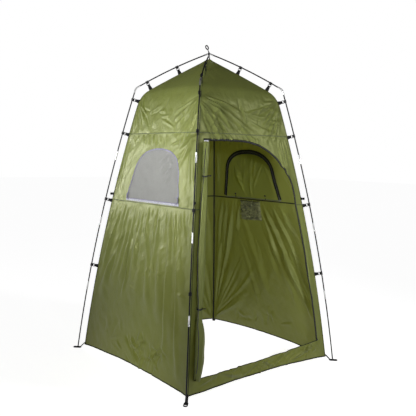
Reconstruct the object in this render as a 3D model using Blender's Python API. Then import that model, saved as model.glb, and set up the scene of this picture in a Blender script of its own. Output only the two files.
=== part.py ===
"""A square privacy shower tent: two crossing poles outside, a fabric body clipped to them inside.

Metres, +Z up, origin on the ground at the centre. The door faces -Y, and the windows are in the
walls at -X and +X.
"""

from math import atan2, cos, hypot, pi, sin, sqrt

import bmesh
import bpy
from mathutils import Matrix, Vector

# Frame: four legs, knees and a shallow roof, all outside the fabric
CROSSING_Z = 2.100
KNEE_Z = 1.866
FOOT_HALF = 0.6466  # half the spacing of the pole ends, in X and in Y
KNEE_HALF = 0.3583
LEG_BOW = 0.0286  # how far a leg bows out at half height
ROOF_BOW = 0.0137
CROSSING_OFFSET = 0.0062  # one pole passes over the other
POLE_END_Z = 0.0085

POLE_R = 0.00425
BORE_R = 0.0025
FERRULE_R = 0.00535
SOCKET_R = 0.00455
FERRULE_LENGTH = 0.060
JOINT_HEIGHTS = (0.464, 0.932, 1.397)
ELBOW_REACH = 0.034  # from an elbow's corner to each of its ends
ELBOW_BEND = 0.014  # from the corner to where the bend starts
TUBE_INSET = 0.016  # from the corner to the end of the tube inside it
CORD_R = 0.00115
TUBE_ENDS = (POLE_END_Z, *JOINT_HEIGHTS, KNEE_Z - TUBE_INSET)
POLE_SIDES = 8
GAP = 0.0004  # between pieces that touch

# Fabric body
FABRIC = 0.0010
POLE_TO_FABRIC = 0.035  # in X and in Y
HEM_Z = 0.040
WAIST_Z = 1.088
TOP_SEAM_Z = 1.549
ROOF_PROFILE = ((0.3395, 1.780), (0.3170, 1.826), (0.2860, 1.857), (0.1420, 1.966), (0.0040, 2.065))
CORNER_TAPE = 0.0045
EDGE = CORNER_TAPE + 0.0006  # from the fabric's corner to a panel's edge
TAPE_END = 0.034  # half the fabric's width where the corner tapes end, near the apex

# Hooks: heights on the leg, and places along the roof pole from crossing to knee
LEG_HOOKS = (0.615, 1.090, 1.556, 1.789)
ROOF_HOOKS = (0.435, 0.844)
SHORT_TAB_Z = 1.128
SHORT_TAB_LENGTH = 0.022
HOOK_WIDTH = 0.018
CLIP_GAP = 0.0009  # a clip is loose on its pole
CLIP_R = 0.0078
STRAP_HALF = 0.0012

# Ground rings
RING_IN, RING_OUT = 0.022, 0.032  # from the pole's axis, inwards and outwards
RING_HALF_WIDTH = 0.0125
RING_HEIGHT = 0.005
PIN_R = 0.0019
PIN_TOP = 0.042
PEG_HOLE_START = 0.0075  # from the pole's axis, outwards
RING_RIM = 0.005
SLOT_NEAR, SLOT_FAR, SLOT_HALF = 0.0125, 0.0165, 0.0075  # the strap's slot, inwards of the pole's axis

# Door
DOOR_TOP_Z = 1.503
DOOR_ARC_X, DOOR_ARC_Z = -0.050, 1.095  # centre of the arc at the top right
SILL_Z = 0.130
DOOR_EDGE_LEFT, DOOR_EDGE_RIGHT = 0.046, 0.074  # from the corners
ROLL_R = 0.025
ROLL_IN = 0.045  # from the corner to the roll's middle
ROLL_OUT = 0.0275  # in front of the wall
LOWER_TIE_Z, UPPER_TIE_Z = 0.522, 1.289
LOW_ROLL_HEIGHTS = (0.118, 0.15, 0.22, 0.32, 0.42, 0.47, 0.522, 0.575, 0.65)
HIGH_ROLL_HEIGHTS = (0.85, 1.05, 1.2, 1.289, 1.37, 1.45, 1.492)
TIE_CLEARANCE, TIE_THICKNESS, TIE_HALF_WIDTH = 0.0016, 0.0024, 0.005
DOOR_ZIP_WIDTH = 0.008

# Windows, each centred near its wall's middle
WINDOW_SILL_Z = 1.100
WINDOW_SPRING_Z = 1.310
WINDOW_TOP_Z = 1.446
WINDOW_SILL_HALF, WINDOW_SPRING_HALF = 0.296, 0.243
WINDOW_CENTRE = {"left": -0.014, "right": 0.028}
ZIP_HALF = 0.0115
ZIP_DEPTH = 0.0018  # from the wall's outer face to the tape
FLAP_INSET = 0.0132  # from the window's edge to the flap's edge
FLAP_HINGE_DEPTH = 0.0068

POCKET_CENTRE_Y = 0.048
POCKET_HALF_WIDTH = 0.112
POCKET_TOP_Z, POCKET_BOTTOM_Z = 1.078, 0.932
POCKET_TOP_DEPTH, POCKET_BOTTOM_DEPTH = 0.016, 0.020

# Apex ring
APEX_LEAN = 0.38
APEX_STEM, APEX_STEM_R = 0.026, 0.0034
APEX_EYE_R, APEX_EYE_WIRE_R = 0.0135, 0.0028

CORNERS = {
    "front_left": (-1, -1),
    "front_right": (1, -1),
    "back_right": (1, 1),
    "back_left": (-1, 1),
}
WALLS = {"front": 0, "right": 90, "back": 180, "left": 270}


def clear_scene():
    for obj in list(bpy.data.objects):
        bpy.data.objects.remove(obj, do_unlink=True)


def material(name, color, roughness, metallic=0.0):
    made = bpy.data.materials.get(name)
    if made:
        return made
    made = bpy.data.materials.new(name)
    made.use_nodes = True
    shader = made.node_tree.nodes["Principled BSDF"]
    shader.inputs["Base Color"].default_value = (*color, 1)
    shader.inputs["Roughness"].default_value = roughness
    shader.inputs["Metallic"].default_value = metallic
    return made


def materials():
    """Every material, by name. Colours are linear."""
    return {
        "fabric": material("olive_polyester", (0.24, 0.28, 0.13), 0.62),
        "pole": material("black_fibreglass", (0.035, 0.035, 0.037), 0.35),
        "silver": material("silver_ferrule", (0.62, 0.62, 0.62), 0.28, 1.0),
        "webbing": material("black_webbing", (0.015, 0.015, 0.016), 0.85),
        "plastic": material("black_plastic", (0.012, 0.012, 0.013), 0.45),
        "zip": material("black_zip_tape", (0.018, 0.018, 0.016), 0.7),
        "slider": material("zip_slider_metal", (0.55, 0.55, 0.56), 0.3, 1.0),
        "mesh": material("grey_window_mesh", (0.39, 0.40, 0.37), 0.8),
        "cord": material("elastic_cord", (0.03, 0.03, 0.03), 0.8),
        "pocket": material("pocket_mesh", (0.06, 0.065, 0.03), 0.8),
    }


def add(name, bm, mat, smooth=False):
    bmesh.ops.recalc_face_normals(bm, faces=bm.faces)
    mesh = bpy.data.meshes.new(name)
    bm.to_mesh(mesh)
    bm.free()
    if smooth:
        mesh.shade_smooth()
        mesh.set_sharp_from_angle(angle=0.6)
    obj = bpy.data.objects.new(name, mesh)
    obj.data.materials.append(mat)
    bpy.context.scene.collection.objects.link(obj)
    return obj


def set_origin(obj, point):
    """Moves the object's origin, and leaves its shape where it is."""
    obj.data.transform(Matrix.Translation(-Vector(point)))
    obj.location = point


# The frame's centre lines


def leg_half(z):
    """Half the spacing of the legs at this height, in X and in Y."""
    q = z / KNEE_Z
    return FOOT_HALF + (KNEE_HALF - FOOT_HALF) * q + 4 * LEG_BOW * q * (1 - q)


def leg_point(corner, z):
    sx, sy = CORNERS[corner]
    return Vector((sx * leg_half(z), sy * leg_half(z), z))


def roof_point(corner, f):
    """A point on the roof pole: f is 0 at the crossing and 1 at the knee."""
    sx, sy = CORNERS[corner]
    over = CROSSING_OFFSET * (1 - f) * (1 if sx * sy < 0 else -1)
    z = CROSSING_Z + (KNEE_Z - CROSSING_Z) * f + 4 * ROOF_BOW * f * (1 - f) + over
    return Vector((sx * KNEE_HALF * f, sy * KNEE_HALF * f, z))


def tangent(curve, at, step=0.002):
    return (curve(at + step) - curve(at - step)).normalized()


def roof_fraction(distance):
    """How far along the roof pole a point this far from its knee lies, as roof_point's f."""
    length = hypot(KNEE_HALF * sqrt(2), CROSSING_Z - KNEE_Z)
    return 1 - distance / length


def fabric_half(z):
    """Half the fabric's width at this height, up to the shoulder."""
    return leg_half(z) - POLE_TO_FABRIC


def corner_profile():
    """The fabric's corner from hem to apex, as (half width, height)."""
    steps = 12
    top = ROOF_PROFILE[0][1] - 0.04
    rising = [HEM_Z + (top - HEM_Z) * i / steps for i in range(steps + 1)]
    return [(fabric_half(z), z) for z in rising] + list(ROOF_PROFILE)


# Tubes


def ring(bm, centre, direction, radius, sides, side=Vector((1, 0, 0))):
    """A ring of vertices round a direction, with the first one towards side."""
    v = direction.cross(side).normalized()
    u = v.cross(direction)
    angles = [2 * pi * i / sides for i in range(sides)]
    return [bm.verts.new(centre + radius * (cos(a) * u + sin(a) * v)) for a in angles]


def bridge(bm, one, other):
    for i in range(len(one)):
        j = (i + 1) % len(one)
        bm.faces.new((one[i], one[j], other[j], other[i]))


def tube(name, corner, outer, inner, mat):
    """A hollow tube in a corner's diagonal plane, of (centre, direction, radius) from end to end."""
    sx, sy = CORNERS[corner]
    side = Vector((sy, -sx, 0)).normalized()
    bm = bmesh.new()
    rings = [ring(bm, *station, POLE_SIDES, side) for station in list(outer) + list(inner)[::-1]]
    for one, other in zip(rings, rings[1:] + rings[:1]):
        bridge(bm, one, other)
    return add(name, bm, mat, smooth=True)


def leg_station(corner, z, radius):
    def curve(at):
        return leg_point(corner, at)

    return curve(z), tangent(curve, z), radius


def roof_station(corner, f, radius):
    def curve(at):
        return roof_point(corner, at)

    return curve(f), tangent(curve, f), radius


def leg_heights(low, high):
    """Where a leg tube's line is read: its ends, its middle, and the mouth of the knee's elbow."""
    heights = [low, (low + high) / 2, high]
    return heights[:-1] + [KNEE_Z - ELBOW_REACH - 0.004, high] if high == TUBE_ENDS[-1] else heights


def leg_tubes(corner, mats):
    """Four tubes. Each of the lower three carries the ferrule that the next one stands in."""
    half = FERRULE_LENGTH / 2
    for i, (low, high) in enumerate(zip(TUBE_ENDS, TUBE_ENDS[1:])):
        heights = leg_heights(low + (GAP if i else 0), high)
        outer = [(z, POLE_R) for z in heights]
        inner = [(z, BORE_R) for z in heights]
        if i < len(JOINT_HEIGHTS):
            outer[-1:] = [(high - half, POLE_R), (high - half, FERRULE_R), (high + half, FERRULE_R)]
            inner += [(high, SOCKET_R), (high + half, SOCKET_R)]
        outer, inner = ([leg_station(corner, z, r) for z, r in run] for run in (outer, inner))
        tube(f"leg_{corner}_tube_{i + 1}", corner, outer, inner, mats["pole"])


def roof_places():
    """Where a roof tube's line is read, from knee to crossing, as roof_point's f."""
    ends = [roof_fraction(TUBE_INSET), roof_fraction(ELBOW_REACH + 0.004)]
    between = [i / 6 for i in range(5, 0, -1)]
    return ends + between + [1 - f for f in ends[::-1]]


def roof_tube(corner, mats):
    outer = [roof_station(corner, f, POLE_R) for f in roof_places()]
    inner = [roof_station(corner, f, BORE_R) for f in roof_places()]
    tube(f"roof_tube_{corner}", corner, outer, inner, mats["pole"])


def bent(before, after, steps=4):
    """The round bend between two stations' lines, as (centre, direction), with both ends."""
    start, run_in = before
    end, run_out = after
    reach = (end - start).length * 0.36
    found = []
    for i in range(steps + 1):
        t = i / steps
        points = (start, start + run_in * reach, end - run_out * reach, end)
        weights = ((1 - t) ** 3, 3 * t * (1 - t) ** 2, 3 * t * t * (1 - t), t**3)
        place = sum((p * w for p, w in zip(points, weights)), Vector())
        slope = run_in * (1 - t) + run_out * t
        found.append((place, slope.normalized()))
    return found


def elbow(name, corner, before, after, mat):
    """A bent ferrule. before and after give (centre, direction) at a distance from its corner."""
    line = [before(ELBOW_REACH), *bent(before(ELBOW_BEND), after(ELBOW_BEND)), after(ELBOW_REACH)]
    outer = [(*place, FERRULE_R) for place in line]
    inner = [(*place, SOCKET_R) for place in line]
    tube(name, corner, outer, inner, mat)


def knee_ends(corner):
    """The leg's line and the roof pole's line near the knee, each as a function of distance from it."""

    def leg_end(distance):
        slope = leg_station(corner, KNEE_Z, 0)[1]
        place, direction, _ = leg_station(corner, KNEE_Z - distance * slope.z, 0)
        return place, direction

    def roof_end(distance):
        place, direction, _ = roof_station(corner, roof_fraction(distance), 0)
        return place, -direction

    return leg_end, roof_end


def apex_ends(first, last):
    def rising(distance):
        place, direction, _ = roof_station(first, 1 - roof_fraction(distance), 0)
        return place, -direction

    def falling(distance):
        place, direction, _ = roof_station(last, 1 - roof_fraction(distance), 0)
        return place, direction

    return rising, falling


def bend_places(ends):
    """The centre line of an elbow's bend."""
    before, after = ends
    return [place for place, _ in bent(before(ELBOW_BEND), after(ELBOW_BEND))]


def shock_cord(name, first, last, mats):
    """One elastic cord, knotted in both pole ends, through every tube between."""
    runs = []
    for corner in (first, last):
        heights = [PIN_TOP + 0.006]
        for low, high in zip(TUBE_ENDS, TUBE_ENDS[1:]):
            heights += leg_heights(low, high)[1:]
        run = [leg_point(corner, z) for z in heights] + bend_places(knee_ends(corner))
        runs.append(run + [roof_point(corner, f) for f in roof_places()])
    line = runs[0] + bend_places(apex_ends(first, last)) + runs[1][::-1]
    curve = bpy.data.curves.new(name, "CURVE")
    curve.dimensions = "3D"
    curve.bevel_depth = CORD_R
    curve.bevel_resolution = 1
    curve.use_fill_caps = True
    spline = curve.splines.new("POLY")
    spline.points.add(len(line) - 1)
    for point, place in zip(spline.points, line):
        point.co = (*place, 1)
    obj = bpy.data.objects.new(name, curve)
    obj.data.materials.append(mats["cord"])
    bpy.context.scene.collection.objects.link(obj)


# Ground rings


def prism(bm, outline, low, high, frame=Matrix.Identity(4)):
    """A closed prism of a 2-D outline, between two heights of a frame."""
    faces = []
    for height in (low, high):
        faces.append([bm.verts.new(frame @ Vector((x, y, height))) for x, y in outline])
    bm.faces.new(faces[0][::-1])
    bm.faces.new(faces[1])
    for i in range(len(outline)):
        j = (i + 1) % len(outline)
        bm.faces.new((faces[0][i], faces[0][j], faces[1][j], faces[1][i]))


def stadium(low, high, half_width, steps=5):
    """An oblong with round ends, along X from low to high."""
    points = []
    for centre, start in ((high - half_width, -pi / 2), (low + half_width, pi / 2)):
        for i in range(steps + 1):
            a = start + pi * i / steps
            points.append((centre + half_width * cos(a), half_width * sin(a)))
    return points


def helper(name, bm):
    """A cutter, or a shape joined to another by a Boolean."""
    obj = add(name, bm, None)
    obj.hide_render = True
    obj.display_type = "WIRE"
    return obj


def boolean(obj, other, operation):
    modifier = obj.modifiers.new(other.name, "BOOLEAN")
    modifier.object = other
    modifier.operation = operation
    modifier.solver = "EXACT"


def ground_ring(corner, mats):
    """A flat oblong ring: a slot for the strap, a boss with the pin, and a hole for a peg."""
    sx, sy = CORNERS[corner]
    foot = leg_point(corner, POLE_END_Z)
    frame = Matrix.Translation((foot.x, foot.y, 0)) @ Matrix.Rotation(atan2(sy, sx), 4, "Z")
    bm = bmesh.new()
    prism(bm, stadium(-RING_IN, RING_OUT, RING_HALF_WIDTH), 0, RING_HEIGHT, frame)
    obj = add(f"ground_ring_{corner}", bm, mats["plastic"], smooth=True)
    cuts = bmesh.new()
    peg_hole = stadium(PEG_HOLE_START, RING_OUT - RING_RIM, RING_HALF_WIDTH - RING_RIM)
    prism(cuts, peg_hole, -RING_HEIGHT, 2 * RING_HEIGHT, frame)
    boolean(obj, helper(f"peg_hole_{corner}", cuts), "DIFFERENCE")
    far, near, half = -SLOT_FAR, -SLOT_NEAR, SLOT_HALF
    slot = [(far, -half), (near, -half), (near, half), (far, half)]
    cuts = bmesh.new()
    prism(cuts, slot, -RING_HEIGHT, 2 * RING_HEIGHT, frame)
    boolean(obj, helper(f"strap_slot_{corner}", cuts), "DIFFERENCE")
    base, top = leg_station(corner, 0.001, PIN_R), leg_station(corner, PIN_TOP, PIN_R)
    pin = bmesh.new()
    rings = [ring(pin, *station, 8) for station in (base, top)]
    bridge(pin, *rings)
    pin.faces.new(rings[0])
    pin.faces.new(rings[1])
    boolean(obj, helper(f"pin_{corner}", pin), "UNION")


# Corner tape, tabs and clips


def tape_square(bm, half, z, corner):
    """A level square of tape at the fabric's corner."""
    sx, sy = CORNERS[corner]
    sides = (half + 0.001, half - CORNER_TAPE)
    order = ((0, 0), (1, 0), (1, 1), (0, 1))
    return [bm.verts.new((sx * sides[i], sy * sides[j], z)) for i, j in order]


def clip_outline(reach, steps=5):
    """A strap along X that ends in an open clip round the origin, as one outline."""
    bore = POLE_R + CLIP_GAP
    mouth = 0.85  # half the mouth's angle, at -X
    root = 0.18
    outer = [root + (pi - mouth - root) * i / steps for i in range(steps + 1)]
    inner = [pi - mouth - (2 * pi - 2 * mouth) * i / (2 * steps) for i in range(2 * steps + 1)]
    upper = [(CLIP_R * cos(a), CLIP_R * sin(a)) for a in outer]
    hole = [(bore * cos(a), bore * sin(a)) for a in inner]
    lower = [(x, -y) for x, y in upper[::-1]]
    return [(reach, STRAP_HALF), *upper, *hole, *lower, (reach, -STRAP_HALF)]


def hook(bm, place, direction, fabric, width=HOOK_WIDTH):
    """A tab from the fabric's corner to a clip round the pole."""
    inward = fabric - place
    inward -= direction * inward.dot(direction)
    x = inward.normalized()
    y = direction.cross(x)
    frame = Matrix((x, y, direction)).transposed().to_4x4()
    frame.translation = place
    prism(bm, clip_outline(inward.length), -width / 2, width / 2, frame)


def nearest_on_tape(place, profile):
    """The middle of the corner tape nearest to a point, seen in the corner's diagonal plane."""
    best = None
    for (h0, z0), (h1, z1) in zip(profile, profile[1:]):
        for i in range(21):
            h = h0 + (h1 - h0) * i / 20 - CORNER_TAPE / 2
            z = z0 + (z1 - z0) * i / 20
            found = hypot(sqrt(2) * (h - place[0]), z - place[1])
            if best is None or found < best[0]:
                best = (found, h, z)
    return best[1], best[2]


def profile_height(half):
    """The height of the roof's corner line where the fabric's half width is this."""
    (h0, z0), (h1, z1) = ROOF_PROFILE[-2:]
    return z0 + (z1 - z0) * (half - h0) / (h1 - h0)


def corner_webbing(corner, mats):
    sx, sy = CORNERS[corner]
    profile = corner_profile()
    profile = [(h, z) for h, z in profile if h > TAPE_END] + [(TAPE_END, profile_height(TAPE_END))]
    ring_slot = leg_half(0) - (RING_IN - 0.0075) / sqrt(2)
    bm = bmesh.new()
    squares = [tape_square(bm, ring_slot, RING_HEIGHT + GAP, corner)]
    squares += [tape_square(bm, h, z, corner) for h, z in profile]
    for one, other in zip(squares, squares[1:]):
        bridge(bm, one, other)
    bm.faces.new(squares[0])
    bm.faces.new(squares[-1])
    obj = add(f"corner_webbing_{corner}", bm, mats["webbing"])

    def join_hook(label, station):
        place, direction, _ = station
        half, z = nearest_on_tape((abs(place.x), place.z), profile)
        shape = bmesh.new()
        hook(shape, place, direction, Vector((sx * half, sy * half, z)))
        boolean(obj, helper(f"hook_{corner}_{label}", shape), "UNION")

    for i, z in enumerate(LEG_HOOKS):
        join_hook(f"leg_{i}", leg_station(corner, z, 0))
    for i, f in enumerate(ROOF_HOOKS):
        join_hook(f"roof_{i}", roof_station(corner, f, 0))
    shape = bmesh.new()
    half = fabric_half(SHORT_TAB_Z)
    out = Matrix.Translation((sx * half, sy * half, SHORT_TAB_Z)) @ Matrix.Rotation(atan2(sy, sx), 4, "Z")
    near, far, thin = -0.004, SHORT_TAB_LENGTH, 0.0015
    tab = [(near, -thin), (far, -thin), (far, thin), (near, thin)]
    prism(shape, tab, -HOOK_WIDTH / 2, HOOK_WIDTH / 2, out)
    boolean(obj, helper(f"short_tab_{corner}", shape), "UNION")


# Fabric panels: drawn flat as (across, height), cut level, then laid on the wall's curve


def profile_depth(z, profile):
    """Half width of the body at a height, on the corner's profile."""
    for (h0, z0), (h1, z1) in zip(profile, profile[1:]):
        if z <= z1:
            return h0 + (h1 - h0) * (z - z0) / (z1 - z0)
    return profile[-1][0]


def wall_point(wall, x, z, depth, profile):
    """A point on a wall: x runs to the right seen from outside, and depth is inwards."""
    turn = Matrix.Rotation(WALLS[wall] * pi / 180, 3, "Z")
    return turn @ Vector((x, depth - profile_depth(z, profile), z))


def flat_panel(outline, holes, levels):
    """A flat mesh of an outline with holes, cut at each level so that it can follow a curve."""
    bm = bmesh.new()
    edges = []
    for loop in (outline, *holes):
        verts = [bm.verts.new((x, 0, z)) for x, z in loop]
        edges += [bm.edges.new((a, b)) for a, b in zip(verts, verts[1:] + verts[:1])]
    bmesh.ops.triangle_fill(bm, use_beauty=True, use_dissolve=False, edges=edges)
    for level in levels:
        geometry = list(bm.verts) + list(bm.edges) + list(bm.faces)
        bmesh.ops.bisect_plane(bm, geom=geometry, dist=1e-6, plane_co=(0, 0, level), plane_no=(0, 0, 1))
    bmesh.ops.triangulate(bm, faces=bm.faces)
    return bm


def thicken(bm, place):
    """Closes a flat mesh into a slab: place(x, z, side) puts each point, side 0 outside and 1 inside."""
    flat = [(v.co.x, v.co.z) for v in bm.verts]
    bm.verts.index_update()
    faces = [[v.index for v in f.verts] for f in bm.faces]
    rim = [[v.index for v in e.verts] for e in bm.edges if e.is_boundary]
    slab = bmesh.new()
    sides = [[slab.verts.new(place(x, z, side)) for x, z in flat] for side in (0, 1)]
    for face in faces:
        slab.faces.new([sides[0][i] for i in face])
        slab.faces.new([sides[1][i] for i in reversed(face)])
    for a, b in rim:
        slab.faces.new((sides[0][a], sides[0][b], sides[1][b], sides[1][a]))
    bm.free()
    return slab


def wall_panel(name, wall, outline, holes, levels, mat, depth=0.0, thickness=FABRIC):
    profile = corner_profile()

    def place(x, z, side):
        return wall_point(wall, x, z, depth + thickness * side, profile)

    return add(name, thicken(flat_panel(outline, holes, levels), place), mat)


def levels_between(low, high, count):
    return [low + (high - low) * i / count for i in range(1, count)]


def edge_run(side, low, high, count, inset):
    """Points up one edge of a wall, this far inside its corner."""
    heights = [low + (high - low) * i / count for i in range(count + 1)]
    return [(side * (fabric_half(z) - inset), z) for z in heights]


def window_half(z, grow=0.0):
    """The window's straight side at a height below the spring line."""
    slope = (WINDOW_SPRING_HALF - WINDOW_SILL_HALF) / (WINDOW_SPRING_Z - WINDOW_SILL_Z)
    return WINDOW_SILL_HALF + slope * (z - WINDOW_SILL_Z) + grow


def window_side(grow=0.0, steps=9):
    """Half of the window's outline from its sill to its top, as (half width, height), grown sideways."""
    slope = (WINDOW_SPRING_HALF - WINDOW_SILL_HALF) / (WINDOW_SPRING_Z - WINDOW_SILL_Z)
    spring = Vector((WINDOW_SPRING_HALF + grow, WINDOW_SPRING_Z))
    top = Vector((0, WINDOW_TOP_Z + grow))
    rise = (top.y - spring.y) * 0.62
    one = spring + Vector((slope * rise, rise))
    other = top + Vector((WINDOW_SPRING_HALF * 0.58, 0))
    points = [(WINDOW_SILL_HALF + grow, WINDOW_SILL_Z)]
    for i in range(steps + 1):
        t = i / steps
        p = spring * (1 - t) ** 3 + one * 3 * t * (1 - t) ** 2 + other * 3 * t * t * (1 - t) + top * t**3
        points.append((p.x, p.y))
    return points


def window_outline(wall, grow=0.0, sill=WINDOW_SILL_Z):
    """The window's closed outline, with its sill line moved to a height."""
    side = window_side(grow)
    side[0] = (window_half(sill, grow), sill)
    centre = window_centre(wall)
    return [(centre + x, z) for x, z in side] + [(centre - x, z) for x, z in side[-2::-1]]


def window_centre(wall):
    """Across the wall seen from outside: to the left is +Y on the right wall's far side."""
    return WINDOW_CENTRE[wall] * (1 if wall == "right" else -1)


def side_wall(wall, mats):
    low, high = HEM_Z, TOP_SEAM_Z - GAP
    outline = edge_run(1, low, high, 8, EDGE) + edge_run(-1, low, high, 8, EDGE)[::-1]
    levels = levels_between(low, high, 8)
    wall_panel(f"wall_{wall}", wall, outline, [window_outline(wall)], levels, mats["fabric"])


def back_wall(mats):
    low, high = HEM_Z, TOP_SEAM_Z - GAP
    outline = edge_run(1, low, high, 8, EDGE) + edge_run(-1, low, high, 8, EDGE)[::-1]
    wall_panel("wall_back", "back", outline, [], levels_between(low, high, 8), mats["fabric"])


def door_arc(inset=0.0, steps=10):
    """The opening's round top right corner, from its side up to its straight top."""
    right = fabric_half(DOOR_ARC_Z) - DOOR_EDGE_RIGHT - inset
    rise = DOOR_TOP_Z - DOOR_ARC_Z - inset
    angles = [pi / 2 * i / steps for i in range(steps + 1)]
    return [(DOOR_ARC_X + (right - DOOR_ARC_X) * cos(a), DOOR_ARC_Z + rise * sin(a)) for a in angles]


def front_walls(mats):
    """The front wall in two panels that meet at the waist seam, both open for the door."""
    low, high, waist = HEM_Z, TOP_SEAM_Z - GAP, WAIST_Z
    left = edge_run(-1, waist + GAP, high, 4, EDGE)
    right = edge_run(1, waist + GAP, high, 4, EDGE)[::-1]
    opening_right = [(fabric_half(waist) - DOOR_EDGE_RIGHT, waist + GAP), *door_arc()]
    opening_left = edge_run(-1, waist + GAP, DOOR_TOP_Z, 4, DOOR_EDGE_LEFT)[::-1]
    outline = left + right + opening_right + opening_left
    levels = levels_between(waist, high, 5)
    wall_panel("wall_front_upper", "front", outline, [], levels, mats["fabric"])
    left = edge_run(-1, low, waist, 6, EDGE)[::-1]
    right = edge_run(1, low, waist, 6, EDGE)
    opening_right = edge_run(1, SILL_Z, waist, 6, DOOR_EDGE_RIGHT)[::-1]
    opening_left = edge_run(-1, SILL_Z, waist, 6, DOOR_EDGE_LEFT)
    outline = left + right + opening_right + opening_left
    wall_panel("wall_front_lower", "front", outline, [], levels_between(low, waist, 6), mats["fabric"])


def roof_gore(wall, mats):
    """One roof gore, from the top seam over the shoulder to a point at the apex."""
    profile = [(h, z) for h, z in corner_profile() if z > TOP_SEAM_Z + 0.02]
    start = (fabric_half(TOP_SEAM_Z + GAP), TOP_SEAM_Z + GAP)
    past_tape = TAPE_END - 0.004
    edge = [(h - EDGE, z) for h, z in [start, *profile[:-1], (past_tape, profile_height(past_tape))]]
    edge += [(h - 0.0018, profile_height(h)) for h in (past_tape - 0.003, profile[-1][0])]
    outline = edge + [(-x, z) for x, z in edge[::-1]]
    full = corner_profile()

    def place(x, z, side):
        slope = profile_depth(z + 0.002, full) - profile_depth(z - 0.002, full)
        normal = Vector((-slope, 0.004)).normalized()
        turn = Matrix.Rotation(WALLS[wall] * pi / 180, 3, "Z")
        y = -profile_depth(z, full) + FABRIC * side * normal.y
        return turn @ Vector((x, y, z - FABRIC * side * normal.x))

    levels = [z for _, z in profile[:-1]]
    add(f"roof_gore_{wall}", thicken(flat_panel(outline, [], levels), place), mats["fabric"])


# Windows


def window_mesh(wall, mats):
    outline = window_outline(wall, -GAP, WINDOW_SILL_Z + GAP)
    levels = levels_between(WINDOW_SILL_Z, WINDOW_TOP_Z, 4)
    wall_panel(f"window_mesh_{wall}", wall, outline, [], levels, mats["mesh"])


def window_zip(wall, mats):
    """The zip's tape: an arch over the window's edge, on the wall's inner face."""
    centre = window_centre(wall)
    outer, inner = window_side(ZIP_HALF), window_side(-ZIP_HALF)
    low = WINDOW_SILL_Z + 0.003
    outer[0], inner[0] = (window_half(low, ZIP_HALF), low), (window_half(low, -ZIP_HALF), low)
    band = outer + [(-x, z) for x, z in outer[-2::-1]]
    band += [(-x, z) for x, z in inner] + inner[-2::-1]
    outline = [(centre + x, z) for x, z in band]
    levels = levels_between(WINDOW_SILL_Z, WINDOW_TOP_Z, 5)
    wall_panel(f"window_zip_{wall}", wall, outline, [], levels, mats["zip"], ZIP_DEPTH, 0.0013)


def hinge_place(wall):
    """A point on the line that the flap turns about, in the wall's own (across, depth, height)."""
    return WINDOW_SILL_Z - 0.004, fabric_half(WINDOW_SILL_Z) - FLAP_HINGE_DEPTH


def window_flap_closed(wall, mats):
    """The privacy flap zipped shut inside the window."""
    outline = window_outline(wall, -FLAP_INSET, WINDOW_SILL_Z + 0.001)
    levels = levels_between(WINDOW_SILL_Z, WINDOW_TOP_Z, 4)
    obj = wall_panel(f"window_flap_{wall}", wall, outline, [], levels, mats["fabric"], ZIP_DEPTH)
    z, half = hinge_place(wall)
    set_origin(obj, Matrix.Rotation(WALLS[wall] * pi / 180, 3, "Z") @ Vector((0, -half, z)))


def window_flap_open(wall, mats):
    """The privacy flap unzipped and hanging straight down inside the wall."""
    pivot_z, half = hinge_place(wall)
    outline = window_outline(wall, -FLAP_INSET, WINDOW_SILL_Z + 0.001)
    turn = Matrix.Rotation(WALLS[wall] * pi / 180, 3, "Z")

    def place(x, z, side):
        hanging = Vector((x, -half + 0.0040 + FABRIC * side, 2 * pivot_z - z))
        return turn @ hanging

    obj = add(f"window_flap_{wall}", thicken(flat_panel(outline, [], []), place), mats["fabric"])
    set_origin(obj, turn @ Vector((0, -half, pivot_z)))


def slider_shape(frame):
    """A zip slider with its pull, lying on the plane z = 0 of a frame, with the zip along X."""
    bm = bmesh.new()
    body = [(-0.0065, -0.0032), (0.0030, -0.0045), (0.0065, -0.0038), (0.0065, 0.0038)]
    body += [(0.0030, 0.0045), (-0.0065, 0.0032)]
    prism(bm, body, 0, 0.0034, frame)
    pull = bmesh.new()
    prism(pull, stadium(-0.0300, 0.0020, 0.0030), 0.0028, 0.0046, frame)
    return bm, pull


def zip_slider(name, place, along, outward, mats):
    """place is on the tape's face, along points up the zip, and outward is away from the tape."""
    y = outward.cross(along).normalized()
    frame = Matrix((along, y, outward)).transposed().to_4x4()
    frame.translation = place
    body, pull = slider_shape(frame)
    obj = add(name, body, mats["slider"])
    boolean(obj, helper(f"{name}_pull", pull), "UNION")


def window_slider(wall, side, mats):
    """A slider parked at the low end of the window's zip, on the tape's inner face."""
    profile = corner_profile()
    low, high = WINDOW_SILL_Z + 0.036, WINDOW_SPRING_Z
    depth = ZIP_DEPTH + 0.0013 + 0.0009
    centre = window_centre(wall)
    ends = [wall_point(wall, centre + side * window_half(z), z, depth, profile) for z in (low, high)]
    along = (ends[1] - ends[0]).normalized()
    turn = Matrix.Rotation(WALLS[wall] * pi / 180, 3, "Z")
    across_wall = turn @ Vector((1, 0, 0))
    inward = across_wall.cross(along)
    if inward.dot(turn @ Vector((0, 1, 0))) < 0:
        inward = -inward
    inward = (inward - along * inward.dot(along)).normalized()
    zip_slider(f"window_slider_{wall}", ends[0], along, inward, mats)


# Door


def door_zip(mats):
    """The zip's tape along the opening's edge, from the top left round to the sill on the right."""
    start_x = -fabric_half(DOOR_TOP_Z) + DOOR_EDGE_LEFT + 0.012
    sides = []
    for inset in (GAP, GAP + DOOR_ZIP_WIDTH):
        low = SILL_Z + 0.004
        rising = edge_run(1, low, DOOR_ARC_Z - 0.02, 6, DOOR_EDGE_RIGHT + inset)
        sides.append([*rising, *door_arc(inset), (start_x, DOOR_TOP_Z - inset)])
    outline = sides[0] + sides[1][::-1]
    levels = levels_between(SILL_Z, DOOR_TOP_Z, 12)
    wall_panel("door_zip", "front", outline, [], levels, mats["zip"])


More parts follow.
